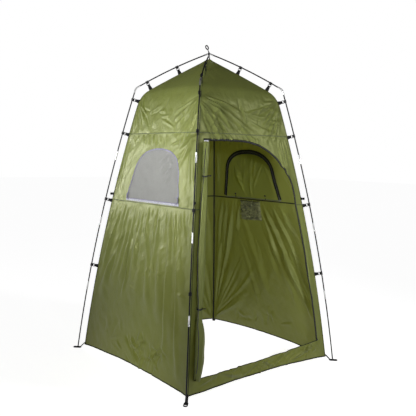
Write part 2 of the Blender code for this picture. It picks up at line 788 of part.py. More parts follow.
def door_slider(mats):
    """The door's slider, parked at the top left end, on the tape's outer face."""
    z = DOOR_TOP_Z - 0.0045
    start_x = -fabric_half(DOOR_TOP_Z) + DOOR_EDGE_LEFT + 0.026
    lean = (fabric_half(z - 0.01) - fabric_half(z + 0.01)) / 0.02
    outward = Vector((0, -1, lean)).normalized()
    place = Vector((start_x, -fabric_half(z), z)) + outward * 0.0006
    zip_slider("door_slider", place, Vector((1, 0, 0)), outward, mats)


def roll_radius(z):
    """The roll's radius at a height: narrow where it is tied, and flared below the lower tie."""
    waist = 0.0
    for tie_z in (LOWER_TIE_Z, UPPER_TIE_Z):
        waist = max(waist, max(0.0, 1 - abs(z - tie_z) / 0.09))
    flare = max(0.0, min(1.0, (LOWER_TIE_Z - 0.06 - z) / 0.10)) * min(1.0, (z - SILL_Z) / 0.10 + 0.25)
    return ROLL_R * (1 - 0.36 * waist + 0.42 * flare)


def roll_centre(z):
    spread = max(0.0, roll_radius(z) - ROLL_R)
    half = fabric_half(z)
    return Vector((-half + ROLL_IN + spread, -half - ROLL_OUT - spread * 0.3, z))


def door_roll(mats):
    """The door panel, rolled up along its sewn edge."""
    bm = bmesh.new()
    rings = []
    for z in LOW_ROLL_HEIGHTS + HIGH_ROLL_HEIGHTS:
        radius = roll_radius(z)
        flatten = 1.0 if radius <= ROLL_R else 0.72
        angles = [2 * pi * i / 12 for i in range(12)]
        centre = roll_centre(z)
        points = [centre + Vector((radius * cos(a), radius * flatten * sin(a), 0)) for a in angles]
        rings.append([bm.verts.new(p) for p in points])
    for one, other in zip(rings, rings[1:]):
        bridge(bm, one, other)
    bm.faces.new(rings[0])
    bm.faces.new(rings[-1])
    obj = add("door_roll", bm, mats["fabric"], smooth=True)
    set_origin(obj, roll_hinge(SILL_Z))


def roll_hinge(z):
    """The sewn edge that the roll hangs on."""
    half = fabric_half(z)
    return Vector((-half + ROLL_IN - 0.006, -half - 0.002, z))


def door_tie(name, z, mats):
    """An elastic loop round the roll, with a toggle."""
    centre, radius = roll_centre(z), roll_radius(z)
    slope = (roll_centre(z + 0.01) - roll_centre(z - 0.01)) / 0.02
    up = Vector((0, 0, 1))
    inner, outer = radius + TIE_CLEARANCE, radius + TIE_THICKNESS
    low, high = -TIE_HALF_WIDTH, TIE_HALF_WIDTH
    bm = bmesh.new()
    rings = []
    for height, r in ((low, inner), (low, outer), (high, outer), (high, inner)):
        rings.append(ring(bm, centre + slope * height, up, r, 12))
    for one, other in zip(rings, rings[1:] + rings[:1]):
        bridge(bm, one, other)
    obj = add(name, bm, mats["webbing"], smooth=True)
    knob = bmesh.new()
    side = Vector((0.55, -0.83, 0))
    start = centre + side * (radius + 0.0012)
    rings = [ring(knob, start + side * d, side, 0.0035, 8) for d in (0.0, 0.024)]
    bridge(knob, *rings)
    knob.faces.new(rings[0])
    knob.faces.new(rings[1])
    boolean(obj, helper(f"{name}_toggle", knob), "UNION")


# Pocket and apex ring


def pouch(grow, low, high, depth_at, profile):
    """A slab on the right wall's inner face, depth_at(z) deep, with its sides and faces moved out by grow."""
    near = FABRIC + 0.0006 - grow
    left, right = (POCKET_CENTRE_Y + side * (POCKET_HALF_WIDTH + grow) for side in (-1, 1))
    bm = bmesh.new()
    rings = []
    for z in (low, high):
        far = FABRIC + 0.0006 + depth_at(z) + grow
        places = ((left, near), (right, near), (right, far), (left, far))
        rings.append([bm.verts.new(wall_point("right", y, z, depth, profile)) for y, depth in places])
    bridge(bm, *rings)
    bm.faces.new(rings[0])
    bm.faces.new(rings[1])
    return bm


def pocket(mats):
    """A mesh pouch on the right wall's inner face, open at the top, below the waist seam."""
    profile = corner_profile()

    def depth_at(z):
        rise = (z - POCKET_BOTTOM_Z) / (POCKET_TOP_Z - POCKET_BOTTOM_Z)
        return POCKET_BOTTOM_DEPTH + (POCKET_TOP_DEPTH - POCKET_BOTTOM_DEPTH) * rise

    shell = pouch(0.0, POCKET_BOTTOM_Z, POCKET_TOP_Z, depth_at, profile)
    obj = add("pocket", shell, mats["pocket"])
    space = pouch(-FABRIC, POCKET_BOTTOM_Z + FABRIC, POCKET_TOP_Z + 0.01, depth_at, profile)
    boolean(obj, helper("pocket_space", space), "DIFFERENCE")


def apex_ring(mats):
    """A ring on a short stem that stands over the crossing and leans to the back left."""
    away = Vector((-1, 1, 0)).normalized()
    base = roof_point("back_left", 0) + Vector((0, 0, FERRULE_R + GAP))
    up = Vector((0, 0, 1)) * cos(APEX_LEAN) + away * sin(APEX_LEAN)
    tip = base + up * APEX_STEM
    stem = bmesh.new()
    rings = [ring(stem, base + up * d, up, APEX_STEM_R, 8) for d in (0.0016, APEX_STEM)]
    bridge(stem, *rings)
    stem.faces.new(rings[0])
    stem.faces.new(rings[1])
    obj = add("apex_ring", stem, mats["plastic"], smooth=True)
    eye = bmesh.new()
    major, minor = APEX_EYE_R, APEX_EYE_WIRE_R
    centre = tip + up * (major - 0.001)
    side = Vector((1, 1, 0)).normalized()
    tilted = (side * 0.75 + away * 0.66).normalized()
    loops = []
    for i in range(16):
        a = 2 * pi * i / 16
        spoke = up * cos(a) + tilted * sin(a)
        normal = up.cross(tilted).normalized()
        circle = []
        for j in range(6):
            b = 2 * pi * j / 6
            circle.append(eye.verts.new(centre + spoke * (major + minor * cos(b)) + normal * minor * sin(b)))
        loops.append(circle)
    for one, other in zip(loops, loops[1:] + loops[:1]):
        bridge(eye, one, other)
    boolean(obj, helper("apex_eye", eye), "UNION")
    set_origin(obj, base)


def build():
    clear_scene()
    mats = materials()
    for corner in CORNERS:
        leg_tubes(corner, mats)
        elbow(f"knee_elbow_{corner}", corner, *knee_ends(corner), mats["silver"])
        roof_tube(corner, mats)
        ground_ring(corner, mats)
        corner_webbing(corner, mats)
    poles = (("lower", "front_left", "back_right"), ("upper", "back_left", "front_right"))
    for level, first, last in poles:
        elbow(f"apex_elbow_{level}", first, *apex_ends(first, last), mats["silver"])
        shock_cord(f"shock_cord_{level}", first, last, mats)
    for wall in WALLS:
        roof_gore(wall, mats)
    for wall in ("left", "right"):
        side_wall(wall, mats)
        window_mesh(wall, mats)
        window_zip(wall, mats)
    back_wall(mats)
    front_walls(mats)
    window_flap_closed("right", mats)
    window_flap_open("left", mats)
    window_slider("left", -1, mats)
    window_slider("right", -1, mats)
    door_zip(mats)
    door_slider(mats)
    door_roll(mats)
    door_tie("door_tie_upper", UPPER_TIE_Z, mats)
    door_tie("door_tie_lower", LOWER_TIE_Z, mats)
    pocket(mats)
    apex_ring(mats)


build()
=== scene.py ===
"""The looks of the privacy shower tent: creased polyester, a rolled door, mesh windows and outside poles."""

from math import atan2, cos, hypot, pi, sin, sqrt

import bmesh
import bpy
import numpy as np
from mathutils import Matrix, Vector, kdtree
from mathutils.geometry import delaunay_2d_cdt


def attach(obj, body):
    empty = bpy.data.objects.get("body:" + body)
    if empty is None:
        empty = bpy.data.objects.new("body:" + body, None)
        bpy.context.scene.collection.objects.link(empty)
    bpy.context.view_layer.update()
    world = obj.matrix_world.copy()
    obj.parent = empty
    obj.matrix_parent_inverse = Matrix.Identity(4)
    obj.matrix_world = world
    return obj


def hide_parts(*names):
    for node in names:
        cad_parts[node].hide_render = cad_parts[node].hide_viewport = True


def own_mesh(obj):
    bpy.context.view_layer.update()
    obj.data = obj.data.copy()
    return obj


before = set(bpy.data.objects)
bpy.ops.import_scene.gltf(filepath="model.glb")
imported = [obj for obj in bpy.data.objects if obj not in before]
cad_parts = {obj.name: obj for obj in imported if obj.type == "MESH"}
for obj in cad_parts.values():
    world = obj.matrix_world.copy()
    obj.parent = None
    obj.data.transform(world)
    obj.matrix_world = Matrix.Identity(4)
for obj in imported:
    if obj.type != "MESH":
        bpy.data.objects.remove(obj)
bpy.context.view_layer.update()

# Frame, as the CAD model has it
KNEE_Z, CROSSING_Z = 1.866, 2.100
FOOT_HALF, KNEE_HALF = 0.6466, 0.3583
LEG_BOW, ROOF_BOW, CROSSING_OFFSET = 0.0286, 0.0137, 0.0062
POLE_R, FERRULE_R, FERRULE_LENGTH = 0.00425, 0.00535, 0.060
JOINT_HEIGHTS = (0.464, 0.932, 1.397)
POLE_END_Z, TUBE_INSET = 0.0085, 0.016
LEG_HOOKS, ROOF_HOOKS = (0.615, 1.090, 1.556, 1.789), (0.435, 0.844)
SHORT_TAB_Z = 1.128
APEX_LEAN = 0.38

# Fabric body
POLE_TO_FABRIC = 0.035
WAIST_Z, TOP_SEAM_Z = 1.088, 1.549
ROOF_PROFILE = ((0.3395, 1.780), (0.3170, 1.826), (0.2860, 1.857), (0.1420, 1.966), (0.0040, 2.065))
PROUD = 0.0018  # the sheets lie this far outside the CAD body's corner line
SPACING = 0.0072
EDGE_FADE = 0.030
HEM_LOWEST = 0.0265
CREASE_GAIN, DIP_DEPTH, DIP_PLACE = 1.9, 0.45, 1.5  # each crease is a ridge with a dip beside it

# Door
DOOR_TOP_Z = 1.503
DOOR_ARC_X, DOOR_ARC_Z = -0.050, 1.095
DOOR_ARC_STEPS = 24
DOOR_EDGE_LEFT, DOOR_EDGE_RIGHT = 0.046, 0.074
SILL_LEFT_Z, SILL_RIGHT_Z = 0.112, 0.152
LOWER_TIE_Z, UPPER_TIE_Z = 0.522, 1.289
ROLL_R, ROLL_IN, ROLL_OUT = 0.025, 0.045, 0.0275
ROLL_LOW_Z, ROLL_HIGH_Z = 0.119, 1.491
SILL_Z = 0.130

# Windows
WINDOW_SILL_Z, WINDOW_SPRING_Z, WINDOW_TOP_Z = 1.100, 1.310, 1.446
WINDOW_SILL_HALF, WINDOW_SPRING_HALF = 0.296, 0.243
ARCH_STEPS = 14
WINDOW_CENTRE = {"left": 0.014, "right": 0.028}
FLAP_INSET, FLAP_HINGE_DEPTH = 0.0132, 0.0068
ZIP_DEPTH = 0.0018

POCKET_CENTRE_Y, POCKET_HALF_WIDTH = 0.048, 0.112
POCKET_TOP_Z, POCKET_BOTTOM_Z = 1.078, 0.932
POCKET_TOP_DEPTH, POCKET_BOTTOM_DEPTH = 0.016, 0.020

CORNERS = {"front_left": (-1, -1), "front_right": (1, -1), "back_right": (1, 1), "back_left": (-1, 1)}
WALLS = {"front": 0, "right": 90, "back": 180, "left": 270}


# Where things are


def leg_half(z):
    q = z / KNEE_Z
    return FOOT_HALF + (KNEE_HALF - FOOT_HALF) * q + 4 * LEG_BOW * q * (1 - q)


def fabric_half(z):
    return leg_half(z) - POLE_TO_FABRIC


def leg_point(corner, z):
    sx, sy = CORNERS[corner]
    return Vector((sx * leg_half(z), sy * leg_half(z), z))


def roof_point(corner, f):
    sx, sy = CORNERS[corner]
    over = CROSSING_OFFSET * (1 - f) * (1 if sx * sy < 0 else -1)
    z = CROSSING_Z + (KNEE_Z - CROSSING_Z) * f + 4 * ROOF_BOW * f * (1 - f) + over
    return Vector((sx * KNEE_HALF * f, sy * KNEE_HALF * f, z))


def roof_fraction(distance):
    return 1 - distance / hypot(KNEE_HALF * sqrt(2), CROSSING_Z - KNEE_Z)


def smoothed(points, rounds=3):
    """A polyline with its corners cut round, and its ends kept."""
    for _ in range(rounds):
        cut = [points[0]]
        for a, b in zip(points, points[1:]):
            cut += [0.75 * a + 0.25 * b, 0.25 * a + 0.75 * b]
        points = [*cut, points[-1]]
    return points


def body_profile():
    """The fabric's corner line from below the hem to the apex: half width, height and length along it."""
    rising = np.linspace(0.0, 1.74, 14)
    corners = [np.array((fabric_half(z), z)) for z in rising] + [np.array(p) for p in ROOF_PROFILE]
    line = np.array(smoothed(corners))
    steps = np.hypot(*np.diff(line, axis=0).T)
    return line[:, 0], line[:, 1], np.concatenate([[0], np.cumsum(steps)])


PROFILE_HALF, PROFILE_Z, PROFILE_T = body_profile()


def t_of(z):
    """Length along the profile, from the ground, at a height."""
    return np.interp(z, PROFILE_Z, PROFILE_T)


def z_of(t):
    return np.interp(t, PROFILE_T, PROFILE_Z)


def half_of(t):
    return np.interp(t, PROFILE_T, PROFILE_HALF)


def outward(t):
    """The wall's normal at a length along the profile, as (outwards, up)."""
    step = 0.004
    rise = z_of(t + step) - z_of(t - step)
    run = half_of(t + step) - half_of(t - step)
    length = np.hypot(rise, run)
    return rise / length, -run / length


def edge_of(t):
    """Half the sheet's width, where it meets the next one at the corner."""
    return half_of(t) + PROUD * outward(t)[0]


def turned(wall, x, depth):
    """A wall's own x and depth, as the object's X and Y."""
    turn = WALLS[wall] * pi / 180
    return x * cos(turn) - depth * sin(turn), x * sin(turn) + depth * cos(turn)


def shell(wall, x, t, lift):
    """Points on a wall: x runs to the right seen from outside, t up the wall, and lift outwards."""
    out, up = outward(t)
    depth = -(half_of(t) + lift * out)
    return np.stack([*turned(wall, x, depth), z_of(t) + lift * up], axis=-1)


# Wrinkles. Each crease runs from one point of a wall to another, as (x0, z0, x1, z1, width, height)


def smoothstep(v):
    v = np.clip(v, 0, 1)
    return v * v * (3 - 2 * v)


def crease_relief(x, z, creases):
    total = np.zeros_like(x)
    for x0, z0, x1, z1, width, height in creases:
        dx, dz = x1 - x0, z1 - z0
        length = hypot(dx, dz)
        along = ((x - x0) * dx + (z - z0) * dz) / length**2
        across = ((x - x0) * dz - (z - z0) * dx) / length
        near = (along > 0) & (along < 1) & (abs(across) < 4 * width)
        s, d = along[near], across[near]
        bend = d + 0.12 * length * (s - s * s) * np.sin(9.0 * x0 + 7.0 * z1)
        w = width * (0.55 + 0.75 * s)
        fade = np.sin(pi * s) ** 0.8
        ridge_and_dip = np.exp(-((bend / w) ** 2)) - DIP_DEPTH * np.exp(-(((bend - DIP_PLACE * w) / w) ** 2))
        total[near] += CREASE_GAIN * height * fade * ridge_and_dip
    return total


def fan(rng, focus, angles, reach, count, width, height, start=0.02):
    """Creases that spread from a point. Angles are in degrees from +X, counter-clockwise."""
    made = []
    cx, cz = focus
    for i in range(count):
        angle = angles[0] + (angles[1] - angles[0]) * (i + rng.uniform(0.1, 0.9)) / count
        a = angle * pi / 180
        far = reach * rng.uniform(0.45, 1.0)
        near = start + far * rng.uniform(0.0, 0.25)
        ends = (cx + near * cos(a), cz + near * sin(a), cx + far * cos(a), cz + far * sin(a))
        made.append((*ends, width * rng.uniform(0.6, 1.5), height * rng.uniform(0.5, 1.3)))
    return made


def hanging(rng, x_range, z_top, drop, count, lean, width, height):
    """Folds that hang from a seam. lean(x) is how far each one's foot moves sideways for each metre."""
    made = []
    for i in range(count):
        x = x_range[0] + (x_range[1] - x_range[0]) * (i + rng.uniform(0.0, 1.0)) / count
        fall = drop * rng.uniform(0.3, 1.0)
        top = z_top - rng.uniform(0.0, 0.02)
        shift = fall * (lean(x) + rng.uniform(-0.08, 0.08))
        size = (width * rng.uniform(0.5, 1.6), height * rng.uniform(0.4, 1.3))
        made.append((x, top, x + shift, top - fall, *size))
    return made


def crumple(rng, centre, size, count, length, width, height):
    """Short creases in all directions round a point."""
    made = []
    for _ in range(count):
        x = centre[0] + size[0] * rng.normal() * 0.5
        z = centre[1] + size[1] * rng.normal() * 0.5
        a = rng.uniform(0, pi)
        half = length * rng.uniform(0.3, 0.7)
        ends = (x - half * cos(a), z - half * sin(a), x + half * cos(a), z + half * sin(a))
        made.append((*ends, width * rng.uniform(0.6, 1.4), height * rng.uniform(-1.0, 1.3)))
    return made


def waves(x, z, seed, height, longest=0.5):
    """A gentle random swell."""
    rng = np.random.default_rng(seed)
    total = np.zeros_like(x)
    for i in range(14):
        size = longest * 0.86**i
        a = rng.uniform(0, 2 * pi)
        total += size * np.sin(2 * pi * (x * cos(a) + z * sin(a)) / size + rng.uniform(0, 2 * pi))
    return height * total / longest / 3


def left_creases():
    rng = np.random.default_rng(11)
    made = fan(rng, (0.385, 1.800), (203, 252), 0.38, 19, 0.0075, 0.0058)
    made += fan(rng, (0.405, 1.560), (196, 240), 0.33, 12, 0.0085, 0.0054)
    made += fan(rng, (-0.345, 1.790), (262, 320), 0.26, 9, 0.010, 0.0042)
    made += crumple(rng, (-0.05, 1.68), (0.30, 0.09), 16, 0.12, 0.010, 0.0034)
    made += hanging(rng, (-0.33, 0.10), 1.545, 0.11, 13, lambda x: 0.25 * x / 0.4, 0.010, 0.0026)
    made += hanging(rng, (-0.47, -0.33), 1.540, 0.42, 4, lambda x: -0.16, 0.020, 0.0030)
    made += hanging(rng, (0.335, 0.44), 1.50, 0.38, 5, lambda x: 0.20, 0.012, 0.0034)
    made += hanging(rng, (-0.48, 0.47), 1.086, 0.16, 40, lambda x: 0.28 * x / 0.5, 0.0065, 0.0022)
    made += hanging(rng, (-0.46, 0.46), 1.080, 0.62, 24, lambda x: 0.42 * x / 0.5, 0.015, 0.0042)
    made += hanging(rng, (-0.40, 0.44), 0.85, 0.70, 12, lambda x: 0.40 * x / 0.5, 0.026, 0.0050)
    made += [(0.386, 0.900, 0.505, 0.073, 0.016, 0.0060), (0.272, 0.780, 0.360, 0.110, 0.018, 0.0050)]
    made += [(-0.235, 0.930, -0.500, 0.430, 0.020, 0.0050), (-0.330, 1.040, -0.485, 0.640, 0.016, 0.0045)]
    made += [(0.010, 1.000, 0.165, 0.420, 0.022, -0.0045), (-0.112, 1.030, -0.020, 0.640, 0.018, -0.0040)]
    made += crumple(rng, (0.02, 0.15), (0.15, 0.07), 18, 0.11, 0.009, 0.0062)
    made += crumple(rng, (0.24, 0.14), (0.14, 0.09), 20, 0.12, 0.009, 0.0064)
    made += fan(rng, (0.290, 1.500), (208, 244), 0.36, 9, 0.014, 0.0056, 0.16)
    made += crumple(rng, (-0.25, 0.20), (0.20, 0.10), 10, 0.12, 0.014, 0.0025)
    made += crumple(rng, (0.10, 0.62), (0.30, 0.20), 12, 0.10, 0.012, 0.0020)
    return made


def front_creases():
    rng = np.random.default_rng(23)
    made = fan(rng, (-0.385, 1.800), (288, 334), 0.50, 19, 0.0080, 0.0068)
    made += fan(rng, (-0.350, 1.790), (318, 346), 0.62, 9, 0.0115, 0.0062)
    made += fan(rng, (0.350, 1.790), (186, 262), 0.34, 11, 0.0090, 0.0048)
    made += crumple(rng, (0.10, 1.67), (0.25, 0.08), 12, 0.14, 0.010, 0.0036)
    made += [(-0.035, 1.700, 0.262, 1.660, 0.012, 0.0040), (0.190, 1.650, 0.345, 1.632, 0.009, 0.0040)]
    made += [(0.060, 1.640, 0.300, 1.580, 0.012, -0.0035), (0.150, 1.760, 0.320, 1.700, 0.012, 0.0030)]
    made += hanging(rng, (-0.20, 0.30), 1.547, 0.05, 16, lambda x: 0.6, 0.008, 0.0020)
    made += hanging(rng, (0.28, 0.41), 1.545, 0.42, 7, lambda x: 0.20, 0.010, 0.0040)
    made += hanging(rng, (0.43, 0.47), 1.080, 0.80, 5, lambda x: 0.145, 0.010, 0.0050)
    down_strip = zip(np.linspace(0.465, 0.575, 16), np.linspace(1.06, 0.22, 16))
    made += [(x, z, x + 0.03, z - 0.07, 0.007, 0.0050) for x, z in down_strip]
    made += hanging(rng, (-0.44, -0.415), 1.540, 0.60, 3, lambda x: -0.15, 0.009, 0.0030)
    made += hanging(rng, (-0.50, -0.47), 1.080, 0.85, 3, lambda x: -0.145, 0.009, 0.0034)
    made += [(-0.530, 0.070, -0.350, 0.118, 0.014, 0.0065), (-0.175, 0.060, -0.040, 0.128, 0.014, 0.0080)]
    made += [(0.080, 0.060, 0.240, 0.142, 0.014, 0.0085), (0.270, 0.070, 0.480, 0.135, 0.012, 0.0080)]
    made += [(-0.350, 0.110, -0.180, 0.060, 0.014, 0.0065), (-0.010, 0.125, 0.100, 0.060, 0.012, 0.0060)]
    made += crumple(rng, (0.10, 0.095), (0.45, 0.03), 40, 0.08, 0.0075, 0.0066)
    made += crumple(rng, (0.50, 0.12), (0.06, 0.05), 8, 0.06, 0.008, 0.0050)
    return made


def right_creases():
    """Seen from inside, so its ridges are pushed inwards."""
    rng = np.random.default_rng(37)
    made = [(-0.071, 1.070, -0.250, 0.750, 0.009, -0.0120), (-0.215, 0.830, -0.515, 0.270, 0.010, -0.0165)]
    made += [(-0.165, 1.070, -0.370, 0.720, 0.009, -0.0110), (-0.320, 0.820, -0.510, 0.390, 0.010, -0.0130)]
    made += [(-0.020, 1.060, -0.200, 0.640, 0.012, -0.0080), (-0.240, 1.070, -0.430, 0.800, 0.008, -0.0100)]
    made += [(-0.100, 1.040, -0.420, 0.480, 0.014, -0.0060), (-0.280, 1.050, -0.440, 0.740, 0.009, -0.0060)]
    made += [(0.010, 1.060, -0.330, 0.420, 0.020, -0.0050), (0.190, 1.000, -0.050, 0.350, 0.030, -0.0050)]
    made += fan(rng, (0.600, 0.040), (100, 150), 0.85, 13, 0.016, -0.0050)
    made += fan(rng, (-0.440, 1.560), (285, 330), 0.30, 8, 0.010, -0.0040)
    made += hanging(rng, (-0.44, -0.29), 1.330, 0.26, 7, lambda x: -0.75, 0.008, -0.0055)
    made += hanging(rng, (-0.40, 0.40), 1.545, 0.12, 14, lambda x: 0.3 * x / 0.4, 0.010, -0.0030)
    made += hanging(rng, (0.33, 0.45), 1.500, 0.45, 6, lambda x: 0.18, 0.014, -0.0045)
    made += hanging(rng, (-0.46, 0.46), 1.085, 0.16, 34, lambda x: 0.3 * x / 0.5, 0.007, -0.0022)
    made += hanging(rng, (0.15, 0.47), 1.080, 0.75, 10, lambda x: 0.30, 0.016, -0.0060)
    made += hanging(rng, (-0.30, 0.25), 0.80, 0.60, 8, lambda x: -0.35, 0.024, -0.0045)
    made += fan(rng, (-0.385, 1.790), (290, 340), 0.40, 10, 0.011, 0.0040)
    made += crumple(rng, (0.0, 0.15), (0.40, 0.08), 18, 0.12, 0.013, 0.0030)
    return made


def back_creases():
    rng = np.random.default_rng(41)
    made = hanging(rng, (-0.46, 0.46), 1.085, 0.80, 26, lambda x: 0.30 * x / 0.5, 0.016, -0.0050)
    made += hanging(rng, (-0.42, 0.42), 1.545, 0.42, 20, lambda x: 0.18 * x / 0.5, 0.013, -0.0040)
    made += fan(rng, (-0.600, 0.040), (28, 78), 0.90, 12, 0.018, -0.0050)
    made += fan(rng, (0.600, 0.040), (102, 152), 0.90, 12, 0.018, -0.0050)
    made += fan(rng, (-0.385, 1.800), (288, 330), 0.40, 10, 0.010, 0.0036)
    made += fan(rng, (0.385, 1.800), (210, 252), 0.40, 10, 0.010, 0.0036)
    made += crumple(rng, (0.0, 0.15), (0.45, 0.09), 24, 0.12, 0.013, 0.0030)
    return made


CREASES = {"left": left_creases(), "front": front_creases(), "right": right_creases(), "back": back_creases()}


def relief(wall, x, t):
    """How far the cloth stands out from its wall's plain shape. It is nothing at the corners."""
    z = z_of(t)
    seed = WALLS[wall]
    swell = waves(x, z, seed + 5, 0.0035) + waves(x, z, seed + 6, 0.0012, 0.11)
    cloth = swell + crease_relief(x, z, CREASES[wall])
    for seam in (WAIST_Z, TOP_SEAM_Z):
        cloth *= 1 - 0.7 * np.exp(-(((z - seam) / 0.010) ** 2))
    roof = smoothstep((z - 1.80) / 0.05)
    cloth = cloth * (1 - 0.55 * roof) + 0.006 * roof * np.cos(0.5 * pi * np.clip(x / edge_of(t), -1, 1))
    fade = smoothstep((edge_of(t) - abs(x)) / np.minimum(EDGE_FADE, 0.5 * edge_of(t)))
    return PROUD + cloth * fade


# Meshes


def inside(points, loops):
    """Which points lie inside these closed loops, counting crossings, so that a loop in a loop is a hole."""
    x, z = points[:, 0], points[:, 1]
    odd = np.zeros(len(points), bool)
    for loop in loops:
        for (x0, z0), (x1, z1) in zip(loop, np.roll(loop, -1, axis=0)):
            if z0 == z1:
                continue
            crosses = (z0 > z) != (z1 > z)
            odd ^= crosses & (x < x0 + (z - z0) * (x1 - x0) / (z1 - z0))
    return odd


def spaced(loop, spacing):
    """A closed loop with points no further apart than the spacing."""
    found = []
    for a, b in zip(loop, np.roll(loop, -1, axis=0)):
        count = max(1, round(np.hypot(*(b - a)) / spacing))
        found += [a + (b - a) * i / count for i in range(count)]
    return np.array(found)


def flat_mesh(loops, spacing):
    """Even triangles between closed loops: points and faces."""
    loops = [spaced(np.array(loop, float), spacing) for loop in loops]
    rim = np.concatenate(loops)
    tree = kdtree.KDTree(len(rim))
    for i, (x, z) in enumerate(rim):
        tree.insert((x, z, 0), i)
    tree.balance()
    low, high = rim.min(axis=0), rim.max(axis=0)
    rows = []
    for j, z in enumerate(np.arange(low[1], high[1], spacing * sqrt(3) / 2)):
        xs = np.arange(low[0] + spacing / 2 * (j % 2), high[0], spacing)
        rows.append(np.stack([xs, np.full_like(xs, z)], axis=1))
    grid = np.concatenate(rows)
    grid = grid[inside(grid, loops)]
    grid = [p for p in grid if tree.find((p[0], p[1], 0))[2] > 0.55 * spacing]
    points = [Vector(p) for p in rim] + [Vector(p) for p in grid]
    edges, start = [], 0
    for loop in loops:
        edges += [(start + i, start + (i + 1) % len(loop)) for i in range(len(loop))]
        start += len(loop)
    verts, _, faces, *_ = delaunay_2d_cdt(points, edges, [], 0, 1e-7)
    verts = np.array([tuple(v) for v in verts])
    faces = np.array(faces)
    return verts, faces[inside(verts[faces].mean(axis=1), loops)]


def placed(name, data):
    obj = bpy.data.objects.new(name, data)
    bpy.context.scene.collection.objects.link(obj)
    return obj


def grid_faces(rows, columns):
    return [(j * columns + i, j * columns + i + 1, (j + 1) * columns + i + 1, (j + 1) * columns + i)
            for j in range(rows - 1) for i in range(columns - 1)]


def new_object(name, points, faces, mat, uvs=None, smooth=True):
    mesh = bpy.data.meshes.new(name)
    mesh.from_pydata([tuple(p) for p in points], [], [list(map(int, f)) for f in faces])
    if uvs is not None:
        layer = mesh.uv_layers.new(name="cloth")
        index = np.empty(len(mesh.loops), np.int32)
        mesh.loops.foreach_get("vertex_index", index)
        layer.data.foreach_set("uv", np.asarray(uvs, np.float32)[index].ravel())
    if smooth:
        mesh.shade_smooth()
    mesh.materials.append(mat)
    return placed(name, mesh)


def from_bmesh(name, bm, mat, smooth_angle=0.7):
    bmesh.ops.recalc_face_normals(bm, faces=bm.faces)
    mesh = bpy.data.meshes.new(name)
    bm.to_mesh(mesh)
    bm.free()
    mesh.shade_smooth()
    mesh.set_sharp_from_angle(angle=smooth_angle)
    mesh.materials.append(mat)
    return placed(name, mesh)


def loop_area(loop):
    x, z = np.array(loop, float).T
    return abs(np.dot(x, np.roll(z, -1)) - np.dot(z, np.roll(x, -1))) / 2


def cut_size(loop):
    """Width and length of the smallest rectangle that the cut fits in."""
    x, z = np.array(loop, float).T
    sizes = []
    for a in np.linspace(0, pi / 2, 91):
        sizes.append((np.ptp(x * cos(a) + z * sin(a)), np.ptp(z * cos(a) - x * sin(a))))
    return sorted(float(v) for v in min(sizes, key=lambda size: size[0] * size[1]))


def cloth_panel(name, wall, loops, mat, spacing=SPACING, lift=0.0):
    """A sheet on a wall, from loops in (x, t). The first loop is its outline, and the others are holes."""
    flat, faces = flat_mesh(loops, spacing)
    x, t = flat.T
    points = shell(wall, x, t, relief(wall, x, t) + lift)
    turn = faces[:, ::-1] if np.cross(*(np.diff(flat[faces[0]], axis=0))) < 0 else faces
    obj = new_object(name, points, turn, mat, uvs=flat)
    obj["flat_area"] = loop_area(loops[0]) - sum(loop_area(loop) for loop in loops[1:])
    obj["flat_size"] = cut_size(loops[0])
    return obj


def skin(bm, rings, closed=False):
    """Joins rings of points into a tube, with flat ends unless it is closed."""
    for one, other in zip(rings, rings[1:] + rings[:1] if closed else rings[1:]):
        for j in range(len(one)):
            k = (j + 1) % len(one)
            bm.faces.new((one[j], one[k], other[k], other[j]))
    if not closed:
        bm.faces.new(rings[0][::-1])
        bm.faces.new(rings[-1])


def sweep(name, line, section, mat, side, closed=False):
    """Carries a section, as (across, out) points, along a line. side(i) is a station's across direction."""
    bm = bmesh.new()
    line = [Vector(p) for p in line]
    rings = []
    count = len(line)
    for i, place in enumerate(line):
        ahead = line[(i + 1) % count] if closed else line[min(i + 1, count - 1)]
        behind = line[i - 1] if closed else line[max(i - 1, 0)]
        direction = (ahead - behind).normalized()
        across = side(i)
        across = (across - direction * across.dot(direction)).normalized()
        out = direction.cross(across)
        shape = section(i) if callable(section) else section
        rings.append([bm.verts.new(place + across * a + out * b) for a, b in shape])
    skin(bm, rings, closed)
    return from_bmesh(name, bm, mat)


def any_side(i):
    """An across direction for a round section, which has no side of its own."""
    return Vector((0.31, 0.95, 0.02))


def circle(radius, sides=16):
    angles = [2 * pi * i / sides for i in range(sides)]
    return [(radius * cos(a), radius * sin(a)) for a in angles]


def oblong(half_width, half_thickness, sides=16):
    """A flat section with round edges."""
    reach = half_width - half_thickness
    return [(reach * (1 if cos(a) > 0 else -1) + half_thickness * cos(a), half_thickness * sin(a))
            for a in [2 * pi * (i + 0.5) / sides for i in range(sides)]]


def ribbon(name, wall, path, half_width, thickness, mat, lift=0.0):
    """A tape sewn to a wall along a path in (x, t). lift is from the cloth to the tape's middle."""
    path = np.array(path, float)
    x, t = path.T
    middle = shell(wall, x, t, relief(wall, x, t) + lift)
    above = shell(wall, x, t, relief(wall, x, t) + lift + 0.01)
    normals = [Vector(v).normalized() for v in above - middle]
    count = len(path)

    def side(i):
        ahead, behind = middle[min(i + 1, count - 1)], middle[max(i - 1, 0)]
        return Vector(ahead - behind).normalized().cross(normals[i])

    return sweep(name, middle, oblong(half_width, thickness / 2, 12), mat, side)


def subdivided(path, spacing):
    path = np.array(path, float)
    found = []
    for a, b in zip(path, path[1:]):
        count = max(1, round(np.hypot(*(b - a)) / spacing))
        found += [a + (b - a) * i / count for i in range(count)]
    return np.array([*found, path[-1]])


# Materials


